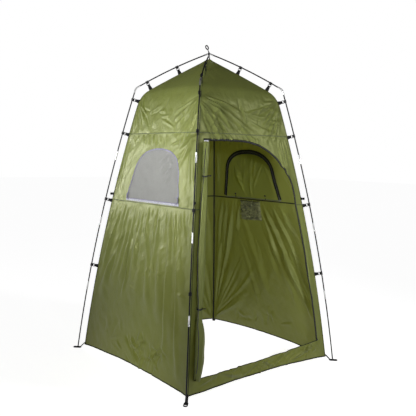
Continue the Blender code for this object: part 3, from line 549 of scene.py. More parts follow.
class Look:
    """Builds one Principled material's nodes."""

    def __init__(self, name, color, roughness, metallic=0.0, specular=0.5, sheen=0.0):
        self.made = bpy.data.materials.new(name)
        self.made.use_nodes = True
        self.tree = self.made.node_tree
        self.shader = self.tree.nodes["Principled BSDF"]
        self.output = self.tree.nodes["Material Output"]
        self.shader.inputs["Base Color"].default_value = (*color, 1)
        self.shader.inputs["Roughness"].default_value = roughness
        self.shader.inputs["Metallic"].default_value = metallic
        self.shader.inputs["Specular IOR Level"].default_value = specular
        self.shader.inputs["Sheen Weight"].default_value = sheen
        self.coords = self.tree.nodes.new("ShaderNodeTexCoord")
        self.height = None

    def node(self, kind, **values):
        made = self.tree.nodes.new("ShaderNode" + kind)
        for name, value in values.items():
            if name in made.inputs:
                made.inputs[name].default_value = value
            else:
                setattr(made, name, value)
        return made

    def link(self, source, target):
        self.tree.links.new(source, target)

    def mapped(self, space="Object", scale=(1, 1, 1)):
        mapping = self.node("Mapping")
        mapping.inputs["Scale"].default_value = scale
        self.link(self.coords.outputs[space], mapping.inputs["Vector"])
        return mapping.outputs["Vector"]

    def noise(self, scale, detail=4.0, roughness=0.5, space="Object", stretch=(1, 1, 1), distortion=0.0):
        noise = self.node("TexNoise", Scale=scale, Detail=detail, Roughness=roughness, Distortion=distortion)
        self.link(self.mapped(space, stretch), noise.inputs["Vector"])
        return noise.outputs["Fac"]

    def stripes(self, scale, direction, distortion=0.0, space="Object"):
        """Smooth stripes, 0 to 1."""
        wave = self.node("TexWave", Scale=scale, Distortion=distortion, bands_direction=direction)
        self.link(self.mapped(space), wave.inputs["Vector"])
        return wave.outputs["Fac"]

    def bands(self, per_metre, direction):
        """So many stripes for each metre, across a sheet's own X or Y."""
        return self.stripes(per_metre * 2 * pi / 20, direction, space="UV")

    def ramp(self, source, low, high, stops=(0.3, 0.7)):
        ramp = self.node("ValToRGB")
        for element, place, color in zip(ramp.color_ramp.elements, stops, (low, high)):
            element.position = place
            element.color = (*color, 1)
        self.link(source, ramp.inputs["Fac"])
        return ramp.outputs["Color"]

    def scaled(self, source, low, high):
        span = self.node("MapRange")
        span.inputs["To Min"].default_value = low
        span.inputs["To Max"].default_value = high
        self.link(source, span.inputs["Value"])
        return span.outputs["Result"]

    def multiply(self, a, b):
        node = self.node("Math", operation="MULTIPLY")
        self.link(a, node.inputs[0])
        self.link(b, node.inputs[1])
        return node.outputs["Value"]

    def tinted(self, color, other, factor):
        mix = self.node("Mix", data_type="RGBA")
        self.link(factor, mix.inputs[0])
        for socket, value in ((mix.inputs[6], color), (mix.inputs[7], other)):
            if isinstance(value, tuple):
                socket.default_value = (*value, 1)
            else:
                self.link(value, socket)
        return mix.outputs[2]

    def color(self, source):
        self.link(source, self.shader.inputs["Base Color"])

    def roughness(self, source):
        self.link(source, self.shader.inputs["Roughness"])

    def bump(self, source, distance, strength=1.0):
        bump = self.node("Bump", Strength=strength, Distance=distance)
        self.link(source, bump.inputs["Height"])
        if self.height is not None:
            self.link(self.height, bump.inputs["Normal"])
        self.height = bump.outputs["Normal"]
        self.link(self.height, self.shader.inputs["Normal"])

    def see_light(self, color, share):
        """Lets some light through, as thin cloth does."""
        through = self.node("BsdfTranslucent")
        through.inputs["Color"].default_value = (*color, 1)
        if self.height is not None:
            self.link(self.height, through.inputs["Normal"])
        mix = self.node("MixShader", Fac=share)
        self.link(self.shader.outputs["BSDF"], mix.inputs[1])
        self.link(through.outputs["BSDF"], mix.inputs[2])
        self.link(mix.outputs["Shader"], self.output.inputs["Surface"])


def shaded(color, factor):
    return tuple(c * factor for c in color)


OLIVE = (0.198, 0.230, 0.064)
OLIVE_LIT = (0.315, 0.310, 0.025)


def polyester(name="olive_polyester", color=OLIVE, through=OLIVE_LIT, share=0.25):
    """Thin coated taffeta: a fine weave, a satin sheen, and small crinkles from being packed."""
    look = Look(name, color, 0.38, specular=0.50, sheen=0.0)
    look.shader.inputs["Specular Tint"].default_value = (0.97, 1.0, 0.52, 1)
    drift = look.noise(2.2, 3, 0.55)
    fine = look.noise(26, 5, 0.6, stretch=(1, 1, 0.45))
    tone = look.ramp(drift, shaded(color, 0.90), shaded(color, 1.09))
    look.color(look.tinted(tone, shaded(color, 0.88), look.scaled(fine, -0.35, 0.60)))
    look.roughness(look.scaled(look.noise(9, 4, 0.6), 0.30, 0.46))
    look.bump(look.noise(17, 6, 0.62, distortion=0.8), 0.0060, 0.50)
    look.bump(look.noise(60, 4, 0.6, stretch=(1, 1, 0.6)), 0.0010, 0.35)
    weave = look.multiply(look.bands(1400, "X"), look.bands(1400, "Y"))
    look.bump(weave, 0.00010, 0.5)
    look.see_light(through, share)
    return look.made


def webbing(name="black_webbing", color=(0.007, 0.007, 0.008)):
    look = Look(name, color, 0.80, specular=0.20)
    tone = look.noise(180, 3, 0.6)
    look.color(look.ramp(tone, shaded(color, 0.6), shaded(color, 1.9)))
    look.bump(look.stripes(90.0, "DIAGONAL", 0.6), 0.00035, 0.8)
    look.bump(look.noise(600, 2), 0.0002, 0.6)
    return look.made


def moulded(name, color, roughness):
    look = Look(name, color, roughness, specular=0.3)
    look.color(look.ramp(look.noise(45, 4), shaded(color, 0.8), shaded(color, 1.35)))
    look.roughness(look.scaled(look.noise(110, 5, 0.65), roughness - 0.10, roughness + 0.14))
    look.bump(look.noise(900, 3), 0.00012, 0.5)
    return look.made


def fibreglass():
    color = (0.006, 0.006, 0.007)
    look = Look("black_fibreglass", color, 0.32, specular=0.15)
    streaks = look.noise(160, 4, 0.6, stretch=(1, 1, 0.02))
    look.color(look.ramp(streaks, shaded(color, 0.70), shaded(color, 1.5)))
    look.roughness(look.scaled(look.noise(220, 4, 0.7, stretch=(1, 1, 0.15)), 0.24, 0.48))
    look.bump(streaks, 0.00015, 0.5)
    return look.made


def metal(name, color, roughness, scratch=0.5):
    look = Look(name, color, roughness, metallic=1.0)
    brushed = look.noise(400, 4, 0.6, stretch=(1, 1, 0.06))
    look.color(look.ramp(brushed, shaded(color, 0.82), shaded(color, 1.12)))
    look.roughness(look.scaled(look.noise(90, 5, 0.7), roughness - 0.08, roughness + 0.16))
    look.bump(brushed, 0.00008, scratch)
    return look.made


def zip_tape():
    """Black zip: woven tape with a coil of teeth down its middle."""
    color = (0.006, 0.006, 0.005)
    look = Look("black_zip", color, 0.62, specular=0.2)
    look.color(look.ramp(look.noise(300, 3), shaded(color, 0.6), shaded(color, 2.2)))
    look.bump(look.stripes(130.0, "Z"), 0.0006, 0.7)
    look.bump(look.noise(500, 3), 0.0002, 0.5)
    return look.made


def coil():
    """A zip's teeth: close ribs across its run."""
    color = (0.020, 0.020, 0.020)
    look = Look("black_zip_coil", color, 0.40, specular=0.5)
    ribs = look.stripes(230.0, "DIAGONAL")
    look.color(look.ramp(ribs, shaded(color, 0.4), shaded(color, 2.6)))
    look.bump(ribs, 0.0006, 0.8)
    return look.made


def stitched(name, color):
    """A felled seam with two rows of stitches."""
    look = Look(name, color, 0.60, specular=0.35)
    rows = look.stripes(55.0, "DIAGONAL")
    look.color(look.ramp(rows, shaded(color, 0.35), shaded(color, 0.95), (0.30, 0.62)))
    look.bump(rows, 0.0006, 0.6)
    return look.made


def netting(name, color, hole, share, swing=0.06, soft=7):
    """Fine net: a diamond grid of threads over a darker ground."""
    look = Look(name, color, 0.72, specular=0.25, sheen=0.25)
    threads = look.multiply(look.bands(620, "X"), look.bands(620, "Y"))
    cloud = look.noise(soft, 4, 0.6, stretch=(1, 1, 1.6), distortion=0.8)
    tone = look.ramp(cloud, shaded(color, 1 - swing), shaded(color, 1 + swing), (0.35, 0.65))
    look.color(look.tinted(tone, shaded(color, hole), threads))
    look.bump(look.noise(14, 4, 0.55, distortion=0.6), 0.004, 0.4)
    look.bump(threads, 0.00025, 0.7)
    if share:
        look.see_light(color, share)
    return look.made


def ground():
    look = Look("pale_floor", (0.80, 0.80, 0.80), 0.75, specular=0.1)
    look.color(look.ramp(look.noise(0.8, 3), (0.79, 0.79, 0.79), (0.82, 0.82, 0.82)))
    look.shader.inputs["Emission Color"].default_value = (1, 1, 1, 1)
    look.shader.inputs["Emission Strength"].default_value = 0.93
    return look.made


MAT = {
    "fabric": polyester(),
    # The flaps are the wall's olive polyester, painted twice as bright with more light through it: painted
    # light on flaps that hang in shade inside the tent.
    "flap": polyester("olive_polyester_flap_painted_lighter", shaded(OLIVE, 2.0), shaded(OLIVE_LIT, 2.4), 0.50),
    "webbing": webbing(),
    "plastic": moulded("black_moulded_plastic", (0.007, 0.007, 0.008), 0.50),
    "pole": fibreglass(),
    "silver": metal("silver_ferrule_metal", (0.72, 0.72, 0.73), 0.26),
    "slider": metal("zip_slider_chrome", (0.20, 0.20, 0.21), 0.38, 0.2),
    "zip": zip_tape(),
    "coil": coil(),
    "net": netting("grey_window_net", (0.270, 0.272, 0.255), 0.78, 0.12),
    "trim": webbing("lilac_grey_tape", (0.20, 0.19, 0.27)),
    "pale": webbing("pale_grey_tape", (0.36, 0.36, 0.40)),
    "pocket": netting("olive_pocket_net", (0.230, 0.240, 0.110), 0.50, 0.20, 0.80, 38),
    "cord": webbing("pale_olive_cord", (0.34, 0.36, 0.20)),
    "elastic": webbing("elastic_cord_black", (0.02, 0.02, 0.02)),
    "seam": stitched("stitched_olive_seam", shaded(OLIVE, 0.90)),
    "binding": webbing("dark_olive_binding", (0.030, 0.036, 0.014)),
    "pocket_edge": webbing("pocket_elastic", (0.045, 0.048, 0.020)),
}


def ride(obj, slot, body="tent", *nodes):
    """Puts a piece on its body and hides the CAD nodes it stands for. The slot argument is not used."""
    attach(obj, body)
    if nodes:
        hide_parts(*nodes)
    return obj


# The body's sheets


def hem_z(wall, x):
    """The hem is highest at the middle of a wall."""
    middle = {"front": 0.046, "left": 0.052, "right": 0.054, "back": 0.058}[wall]
    tilt = 0.010 * x / FOOT_HALF if wall == "front" else 0.0
    rise = (middle - HEM_LOWEST) * (1 - (x / fabric_half(HEM_LOWEST)) ** 2)
    return HEM_LOWEST + rise + tilt * (1 - abs(x) / FOOT_HALF)


def side_edge(side, low, high, step=0.03):
    """Up one edge of a wall, in (x, t)."""
    count = max(1, round((high - low) / step))
    ts = np.linspace(low, high, count + 1)
    return [(side * edge_of(t), t) for t in ts]


def wall_outline(wall):
    """A wall from its hem to its top seam, in (x, t)."""
    corner = edge_of(t_of(hem_z(wall, fabric_half(0.03))))
    foot = [(x, t_of(hem_z(wall, x))) for x in np.linspace(-corner, corner, 41)]
    top = t_of(TOP_SEAM_Z)
    right = side_edge(1, foot[-1][1], top)[1:]
    left = side_edge(-1, foot[0][1], top)[1:][::-1]
    return foot + right + left


def window_half(z, grow):
    slope = (WINDOW_SPRING_HALF - WINDOW_SILL_HALF) / (WINDOW_SPRING_Z - WINDOW_SILL_Z)
    return WINDOW_SILL_HALF + slope * (z - WINDOW_SILL_Z) + grow


def window_arch(wall, grow=0.0, sill=WINDOW_SILL_Z):
    """The window's edge from the sill's right end over the top to its left end, in (x, z)."""
    slope = (WINDOW_SPRING_HALF - WINDOW_SILL_HALF) / (WINDOW_SPRING_Z - WINDOW_SILL_Z)
    spring = np.array((WINDOW_SPRING_HALF + grow, WINDOW_SPRING_Z))
    top = np.array((0, WINDOW_TOP_Z + grow))
    rise = (top[1] - spring[1]) * 0.62
    one = spring + np.array((slope * rise, rise))
    other = top + np.array((WINDOW_SPRING_HALF * 0.58, 0))
    half = [(window_half(z, grow), z) for z in np.linspace(sill, WINDOW_SPRING_Z, 9)[:-1]]
    for i in range(ARCH_STEPS + 1):
        s = i / ARCH_STEPS
        early, late = spring * (1 - s) ** 3 + one * 3 * s * (1 - s) ** 2, other * 3 * s * s * (1 - s)
        half.append(early + late + top * s**3)
    centre = WINDOW_CENTRE[wall]
    return [(centre + x, z) for x, z in half] + [(centre - x, z) for x, z in half[-2::-1]]


def in_t(path):
    return [(x, t_of(z)) for x, z in path]


def door_right(z, inset=0.0):
    """The opening's right edge up to the arc."""
    return fabric_half(z) - DOOR_EDGE_RIGHT - inset


def door_arc(inset=0.0):
    right = door_right(DOOR_ARC_Z, inset)
    rise = DOOR_TOP_Z - DOOR_ARC_Z - inset
    angles = [pi / 2 * i / DOOR_ARC_STEPS for i in range(DOOR_ARC_STEPS + 1)]
    return [(DOOR_ARC_X + (right - DOOR_ARC_X) * cos(a), DOOR_ARC_Z + rise * sin(a)) for a in angles]


def sill_z(x):
    """The sill's top edge rises to the right."""
    dip = 0.008 * sin(pi * (x + 0.55) / 1.05)
    return SILL_LEFT_Z + (SILL_RIGHT_Z - SILL_LEFT_Z) * (x + 0.55) / 1.05 - dip


def door_rising(inset=0.0):
    """The opening's right edge from the sill round to the top left, in (x, z)."""
    heights = np.linspace(sill_z(door_right(0.15)), DOOR_ARC_Z, 40)[:-1]
    start_x = -fabric_half(DOOR_TOP_Z) + DOOR_EDGE_LEFT
    top = [(x, DOOR_TOP_Z - inset) for x in np.linspace(DOOR_ARC_X, start_x, 12)[1:]]
    return [(door_right(z, inset), z) for z in heights] + door_arc(inset) + top


def door_left(z):
    return -fabric_half(z) + DOOR_EDGE_LEFT


def front_loops():
    """The front wall's cuts: the upper one over the door, the strips beside it, and the sill."""
    waist, apex = t_of(WAIST_Z), t_of(PROFILE_Z[-1])
    outline = wall_outline("front")
    foot = outline[:41]
    rising = door_rising()
    low = rising[0]
    waist_right = (door_right(WAIST_Z), WAIST_Z)
    beside = [p for p in rising if p[1] < WAIST_Z - 0.01] + [waist_right]
    over = [waist_right] + [p for p in rising if p[1] > WAIST_Z]
    left_edge = [(door_left(z), z) for z in np.linspace(DOOR_TOP_Z, WAIST_Z, 14)[1:]]
    upper = side_edge(1, waist, apex, 0.02) + side_edge(-1, waist, apex, 0.02)[::-1]
    upper += in_t(left_edge[::-1] + over[::-1])
    falling = [(door_left(z), z) for z in np.linspace(WAIST_Z, SILL_LEFT_Z, 30)]
    right_foot = [p for p in foot if p[0] > low[0] + 0.004]
    left_foot = [p for p in foot if p[0] < falling[-1][0] - 0.004]
    mid_foot = [p for p in foot if falling[-1][0] + 0.004 < p[0] < low[0] - 0.004]
    under_right = (low[0], t_of(hem_z("front", low[0])))
    under_left = (falling[-1][0], t_of(hem_z("front", falling[-1][0])))
    right = [under_right, *right_foot, *side_edge(1, foot[-1][1], waist)[1:], *in_t(beside[::-1])]
    left = [*left_foot, under_left, *in_t(falling[::-1]), *side_edge(-1, foot[0][1], waist)[::-1][:-1]]
    crest = [(x, sill_z(x)) for x in np.linspace(low[0], falling[-1][0], 30)]
    sill = [under_left, *mid_foot, under_right, *in_t(crest)]
    return {"upper": upper, "right_strip": right, "left_strip": left, "sill": sill}


def wall_sheets():
    cloth = {}
    for wall in ("left", "right", "back"):
        loops = [wall_outline(wall)]
        if wall in WINDOW_CENTRE:
            loops.append(in_t(window_arch(wall)))
        cloth[wall] = cloth_panel(f"{wall}_wall_cloth", wall, loops, MAT["fabric"])
        ride(cloth[wall], "fabric_olive", "tent", f"wall_{wall}")
    for part, loop in front_loops().items():
        cloth[part] = cloth_panel(f"front_{part}_cloth", "front", [loop], MAT["fabric"])
        nodes = ("wall_front_upper", "roof_gore_front") if part == "upper" else ("wall_front_lower",)
        ride(cloth[part], "fabric_olive", "tent", *nodes)


def roof_sheets():
    for wall in ("left", "right", "back"):
        low, high = t_of(TOP_SEAM_Z), t_of(PROFILE_Z[-1])
        outline = side_edge(1, low, high, 0.02) + side_edge(-1, low, high, 0.02)[::-1]
        obj = cloth_panel(f"{wall}_roof_cloth", wall, [outline], MAT["fabric"])
        ride(obj, "fabric_olive", "tent", f"roof_gore_{wall}")


def seam_tapes():
    """A stitched felled seam outside and a dark binding inside, at the waist and under the roof."""
    for wall in WALLS:
        for label, z in (("waist", WAIST_Z), ("top", TOP_SEAM_Z)):
            t = t_of(z)
            half = edge_of(t) - 0.002
            spans = [(-half, half)]
            if wall == "front" and label == "waist":
                spans = [(-half, door_left(z) + 0.002), (door_right(z) - 0.001, half)]
            for i, (low, high) in enumerate(spans):
                path = [(x, t) for x in np.linspace(low, high, max(4, round((high - low) / 0.01)))]
                name = f"{wall}_{label}_seam" + (f"_{i + 1}" if len(spans) > 1 else "")
                ride(ribbon(name, wall, path, 0.0038, 0.0010, MAT["seam"], 0.0007), "fabric_olive")
                binding = ribbon(f"{name}_binding", wall, path, 0.0042, 0.0012, MAT["webbing"], -0.0012)
                ride(binding, "webbing_black")


def hems():
    """A bound hem along the foot of each wall and the sill's top, and the door's zip round its opening."""
    for wall in WALLS:
        corner = edge_of(t_of(hem_z(wall, fabric_half(0.03))))
        path = [(x, t_of(hem_z(wall, x) + 0.002)) for x in np.linspace(-corner, corner, 130)]
        ride(ribbon(f"{wall}_hem", wall, path, 0.0042, 0.0020, MAT["binding"], 0.0), "webbing_black")
    left = -fabric_half(0.12) + DOOR_EDGE_LEFT
    path = subdivided(in_t(door_rising(-0.004)), 0.009)
    tape = ribbon("door_zip_tape", "front", path, 0.0075, 0.0014, MAT["zip"], 0.0012)
    ride(tape, "zip_black", "tent", "door_zip")
    ride(ribbon("door_zip_coil", "front", path, 0.0022, 0.0024, MAT["coil"], 0.0022), "zip_black")
    path = [(x, t_of(sill_z(x) - 0.001)) for x in np.linspace(left, door_rising()[0][0], 110)]
    ride(ribbon("sill_hem", "front", path, 0.0030, 0.0018, MAT["binding"], 0.0), "webbing_black")


# Windows


def windows():
    for wall in WINDOW_CENTRE:
        sill = WINDOW_SILL_Z - 0.004
        outline = in_t(window_arch(wall, 0.005, sill))
        net = cloth_panel(f"{wall}_window_net", wall, [outline], MAT["net"], 0.011, -0.0009)
        ride(net, "window_mesh_grey", "tent", f"window_mesh_{wall}")
        arch = subdivided(in_t(window_arch(wall, 0.0, WINDOW_SILL_Z - 0.002)), 0.008)
        edge = ribbon(f"{wall}_window_binding", wall, arch, 0.0042, 0.0014, MAT["trim"], 0.0008)
        ride(edge, "window_mesh_grey")
        centre = WINDOW_CENTRE[wall]
        reach = WINDOW_SILL_HALF + 0.004
        base = t_of(WINDOW_SILL_Z + 0.003)
        path = [(x, base) for x in np.linspace(centre - reach, centre + reach, 70)]
        band = ribbon(f"{wall}_window_sill_tape", wall, path, 0.0085, 0.0014, MAT["pale"], 0.0010)
        ride(band, "window_mesh_grey")
        path = [(x, base + 0.0075) for x in np.linspace(centre - reach + 0.03, centre + reach - 0.03, 60)]
        line = ribbon(f"{wall}_window_sill_cord", wall, path, 0.0022, 0.0030, MAT["trim"], 0.0032)
        ride(line, "window_mesh_grey")
        arch = subdivided(in_t(window_arch(wall, 0.0, WINDOW_SILL_Z + 0.006)), 0.008)
        sunk = -0.0034 if wall == "left" else -0.0054
        zipper = ribbon(f"{wall}_window_zip_tape", wall, arch, 0.0165, 0.0014, MAT["zip"], sunk - 0.0012)
        ride(zipper, "zip_black", "tent", f"window_zip_{wall}")
        teeth = ribbon(f"{wall}_window_zip_coil", wall, arch, 0.0030, 0.0030, MAT["coil"], sunk - 0.0022)
        ride(teeth, "zip_black")
        for label, way in (("a", -1), ("b", 1)):
            x = centre + way * (reach - 0.026)
            angles = np.linspace(-2.4, 1.9, 26)
            loop = [(x + 0.017 * cos(a) * way, base + 0.024 + 0.020 * sin(a)) for a in angles]
            name = f"{wall}_window_pull_loop_{label}"
            piece = ribbon(name, wall, loop, 0.0030, 0.0036, MAT["trim"], 0.0050)
            ride(piece, "window_mesh_grey")


def flap_sheets():
    """The privacy flaps, inside the windows: the right one zipped shut, and the left one hanging open."""
    loop = in_t(window_arch("right", -FLAP_INSET, WINDOW_SILL_Z + 0.001))
    flat, faces = flat_mesh([loop], 0.008)
    x, t = flat.T
    folds = abs(crease_relief(x, z_of(t), shut_folds())) * bulge(x, t) * 2.0
    points = shell("right", x, t, -ZIP_DEPTH - 0.0018 - 0.004 * bulge(x, t) - folds)
    shut = new_object("right_window_flap_cloth", points, faces, MAT["flap"], uvs=flat)
    ride(shut, "fabric_olive", "window_flap_right", "window_flap_right")
    hinge_z, half = WINDOW_SILL_Z - 0.004, fabric_half(WINDOW_SILL_Z) - FLAP_HINGE_DEPTH
    loop = window_arch("left", -FLAP_INSET, WINDOW_SILL_Z + 0.001)
    flat, faces = flat_mesh([loop], 0.010)
    x, z = flat.T
    drop = z - hinge_z
    folds = crease_relief(x, z, flap_folds())
    depth = -half + 0.0045 + (0.0020 + abs(folds)) * smoothstep(drop / 0.05)
    points = np.stack([*turned("left", x, depth), hinge_z - drop], axis=-1)
    open_flap = new_object("left_window_flap_cloth", points, faces, MAT["flap"], uvs=flat)
    ride(open_flap, "fabric_olive", "window_flap_left", "window_flap_left")
    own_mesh(open_flap)
    for obj in (shut, open_flap):
        obj["flat_area"] = loop_area(loop)
        obj["flat_size"] = cut_size(loop)
        obj.data.flip_normals()


def bulge(x, t):
    """A closed flap's fullness, nothing at its zip."""
    inset = np.clip((WINDOW_SPRING_HALF - abs(x - WINDOW_CENTRE["right"])) / 0.12, 0, 1)
    return smoothstep(inset) * np.sin(pi * np.clip((z_of(t) - WINDOW_SILL_Z) / 0.34, 0, 1)) * 0.5


def shut_folds():
    rng = np.random.default_rng(59)
    made = hanging(rng, (-0.20, 0.25), 1.440, 0.34, 13, lambda x: 0.35 - 1.2 * x, 0.011, 0.0046)
    made += [(-0.130, 1.360, -0.250, 1.120, 0.009, 0.0110), (0.190, 1.380, 0.090, 1.110, 0.009, 0.0110)]
    return made + [(0.005, 1.290, 0.030, 1.105, 0.009, 0.0090)]


def flap_folds():
    rng = np.random.default_rng(53)
    made = hanging(rng, (-0.22, 0.25), WINDOW_SILL_Z, -0.30, 14, lambda x: 0.1, 0.014, 0.006)
    return made + hanging(rng, (-0.24, 0.27), WINDOW_SILL_Z, -0.12, 22, lambda x: 0.0, 0.007, 0.003)


def window_toggles():
    """Small toggles on loops above the right window's sill, which hold its flap when it is rolled down."""
    for label, y in (("a", -0.120), ("b", 0.200)):
        base, top = t_of(1.096), t_of(1.126)
        path = [(y, base), (y + 0.002, (base + top) / 2), (y, top)]
        strap = ribbon(f"flap_toggle_{label}_loop", "right", path, 0.003, 0.0012, MAT["elastic"], -0.0060)
        ride(strap, "webbing_black")
        ends = shell("right", np.array([y - 0.008, y + 0.008]), np.full(2, top), np.full(2, -0.0075))
        line = [Vector(ends[0]).lerp(Vector(ends[1]), s) for s in np.linspace(0, 1, 7)]
        swell = (0.0018, 0.0034, 0.0040, 0.0042, 0.0040, 0.0034, 0.0018)
        knob = sweep(f"flap_toggle_{label}", line, lambda i: circle(swell[i], 12), MAT["plastic"], any_side)
        ride(knob, "plastic_black")


# Door roll


def roll_radius(z):
    waist = 0.0
    for tie_z in (LOWER_TIE_Z, UPPER_TIE_Z):
        waist = np.maximum(waist, np.maximum(0.0, 1 - abs(z - tie_z) / 0.09))
    flare = np.clip((LOWER_TIE_Z - 0.06 - z) / 0.10, 0, 1) * np.minimum(1.0, (z - SILL_Z) / 0.10 + 0.25)
    return ROLL_R * (1 - 0.36 * waist + 0.42 * flare)


def roll_centre(z):
    spread = np.maximum(0.0, roll_radius(z) - ROLL_R)
    half = fabric_half(z)
    return -half + ROLL_IN + spread, -half - ROLL_OUT - 0.3 * spread


def door_roll():
    """The door panel rolled up as one long spiral, pinched by its ties and loose at its foot."""
    turns, per_turn, rows = 7.4, 22, 150
    count = round(turns * per_turn)
    s = np.linspace(0, 1, count)[None, :]
    z = np.linspace(ROLL_LOW_Z, ROLL_HIGH_Z, rows)[:, None]
    angle = 2 * pi * turns * s + 0.9 + 0.5 * np.sin(5 * z)
    radius = roll_radius(z) * 0.955
    cx, cy = roll_centre(z)
    loose = smoothstep((0.47 - z) / 0.14)
    pinch = np.exp(-(((z - LOWER_TIE_Z) / 0.05) ** 2)) + np.exp(-(((z - UPPER_TIE_Z) / 0.05) ** 2))
    folds = 0.055 * np.sin(3 * angle + 4.0 * z + 1.3) + 0.045 * np.sin(5 * angle - 9.0 * z)
    folds = folds + 0.055 * np.sin(8 * angle + 16.0 * z + 2.0) * (0.5 + pinch)
    folds = folds + 0.10 * loose * np.sin(4 * angle + 3.0 * z) + 0.05 * loose * np.sin(7 * angle - 5.0 * z)
    inner = 0.20 + 0.80 * s
    reach = radius * inner * (1 - 0.09 + 1.5 * folds * (0.35 + 0.65 * s))
    reach = reach + 0.0009 * np.sin(70 * z + 6 * angle) * s
    flatten = np.where(radius > ROLL_R, 0.72, 1.0)
    x = cx + reach * np.cos(angle)
    y = cy + reach * flatten * np.sin(angle)
    foot = 0.010 * loose * np.sin(2 * angle + 0.4) * np.clip((0.2 - z) / 0.08, 0, 1)
    points = np.stack([x, y, z + foot + 0 * x], axis=-1).reshape(-1, 3)
    # This cut isn't worked out from the opening, whose panel is 1.078 m wide at the sill, with 1.207 m2.
    width = 0.80
    uvs = np.stack([np.broadcast_to(s * width, (rows, count)), np.broadcast_to(z, (rows, count))], axis=-1)
    faces = grid_faces(rows, count)
    obj = new_object("rolled_door_cloth", points, faces, MAT["fabric"], uvs=uvs.reshape(-1, 2))
    ride(obj, "fabric_olive", "door_roll", "door_roll")
    edge = points.reshape(rows, count, 3)[:, -1]
    back = Vector((0, 1, 0))
    zipper = sweep("rolled_door_zip", edge[4:-4], circle(0.0022, 10), MAT["coil"], lambda i: back)
    ride(zipper, "zip_black", "door_roll")


def roll_ties():
    """Elastic loops round the roll, each with a toggle."""
    for label, z in (("upper", UPPER_TIE_Z), ("lower", LOWER_TIE_Z)):
        cx, cy = roll_centre(z)
        radius = float(roll_radius(z))
        ring = [(cx + (radius + 0.0006) * cos(a), cy + (radius + 0.0006) * sin(a), z + 0.004 * sin(a + 0.6))
                for a in np.linspace(0, 2 * pi, 41)[:-1]]
        up = Vector((0, 0, 1))
        band = oblong(0.0048, 0.0011, 12)
        loop = sweep(f"roll_tie_{label}", ring, band, MAT["elastic"], lambda i: up, closed=True)
        ride(loop, "webbing_black", "door_roll", f"door_tie_{label}")
        away = Vector((0.55, -0.83, 0))
        start = Vector((cx, cy, z)) + away * (radius + 0.0015)
        line = [start + away * 0.022 * s + Vector((0, 0, 0.002 * s)) for s in np.linspace(0, 1, 8)]
        swell = (0.0022, 0.0030, 0.0026, 0.0024, 0.0030, 0.0036, 0.0038, 0.0026)
        knob = sweep(f"roll_toggle_{label}", line, lambda i: circle(swell[i], 12), MAT["plastic"], any_side)
        ride(knob, "plastic_black", "door_roll")


# Pocket


def pocket():
    """A net pouch with an elastic mouth, gathered across."""
    columns, rows = 46, 32
    us = np.linspace(0, 1, columns)[None, :]
    vs = np.linspace(0, 1, rows)[:, None]
    z = POCKET_BOTTOM_Z + (POCKET_TOP_Z - POCKET_BOTTOM_Z) * vs + 0.010 * (1 - vs) * (us - 0.5) * -1.0
    y = POCKET_CENTRE_Y + POCKET_HALF_WIDTH * (2 * us - 1) * (0.97 - 0.07 * vs)
    depth = POCKET_BOTTOM_DEPTH + (POCKET_TOP_DEPTH - POCKET_BOTTOM_DEPTH) * vs
    wrap = np.clip(np.minimum(us, 1 - us) / 0.07, 0, 1)
    floor = np.clip(vs / 0.10, 0, 1)
    full = np.sin(0.5 * pi * wrap) * np.sin(0.5 * pi * floor)
    ruck = 0.0040 * np.sin(30 * vs + 3 * np.sin(9 * us) + 2.0 * us) + 0.0022 * np.sin(27 * vs - 14 * us)
    ruck = ruck + 0.0018 * np.sin(52 * us + 5 * np.sin(7 * vs))
    depth = 0.0016 + depth * full * 0.93 + ruck * full
    t = t_of(z + 0 * us)
    points = shell("right", y + 0 * z, t, -depth + 0 * y)
    uvs = np.stack([y + 0 * z, z + 0 * y], axis=-1).reshape(-1, 2)
    obj = new_object("pocket_net", points.reshape(-1, 3), grid_faces(rows, columns), MAT["pocket"], uvs=uvs)
    ride(obj, "pocket_mesh", "tent", "pocket")
    mouth = points.reshape(rows, columns, 3)[-1]
    edge = sweep("pocket_mouth_elastic", mouth, oblong(0.0042, 0.0011, 12), MAT["pocket_edge"],
                 lambda i: Vector((0, 0, 1)))
    ride(edge, "pocket_mesh")
    cord = []
    for s in np.linspace(0, 1, 24):
        y, z = 0.005 + 0.055 * s + 0.004 * sin(7 * s), 1.086 - 0.152 * s
        out = 0.0016 + POCKET_TOP_DEPTH + (POCKET_BOTTOM_DEPTH - POCKET_TOP_DEPTH) * s - 0.0006
        cord.append(shell("right", np.array([y]), np.array([t_of(z)]), np.array([-out]))[0])
    back = Vector((0, 1, 0))
    ride(sweep("pocket_drawcord", cord, circle(0.0018, 10), MAT["cord"], lambda i: back), "pocket_mesh")


# Poles


def pole_side(corner):
    sx, sy = CORNERS[corner]
    return Vector((sy, -sx, 0)).normalized()


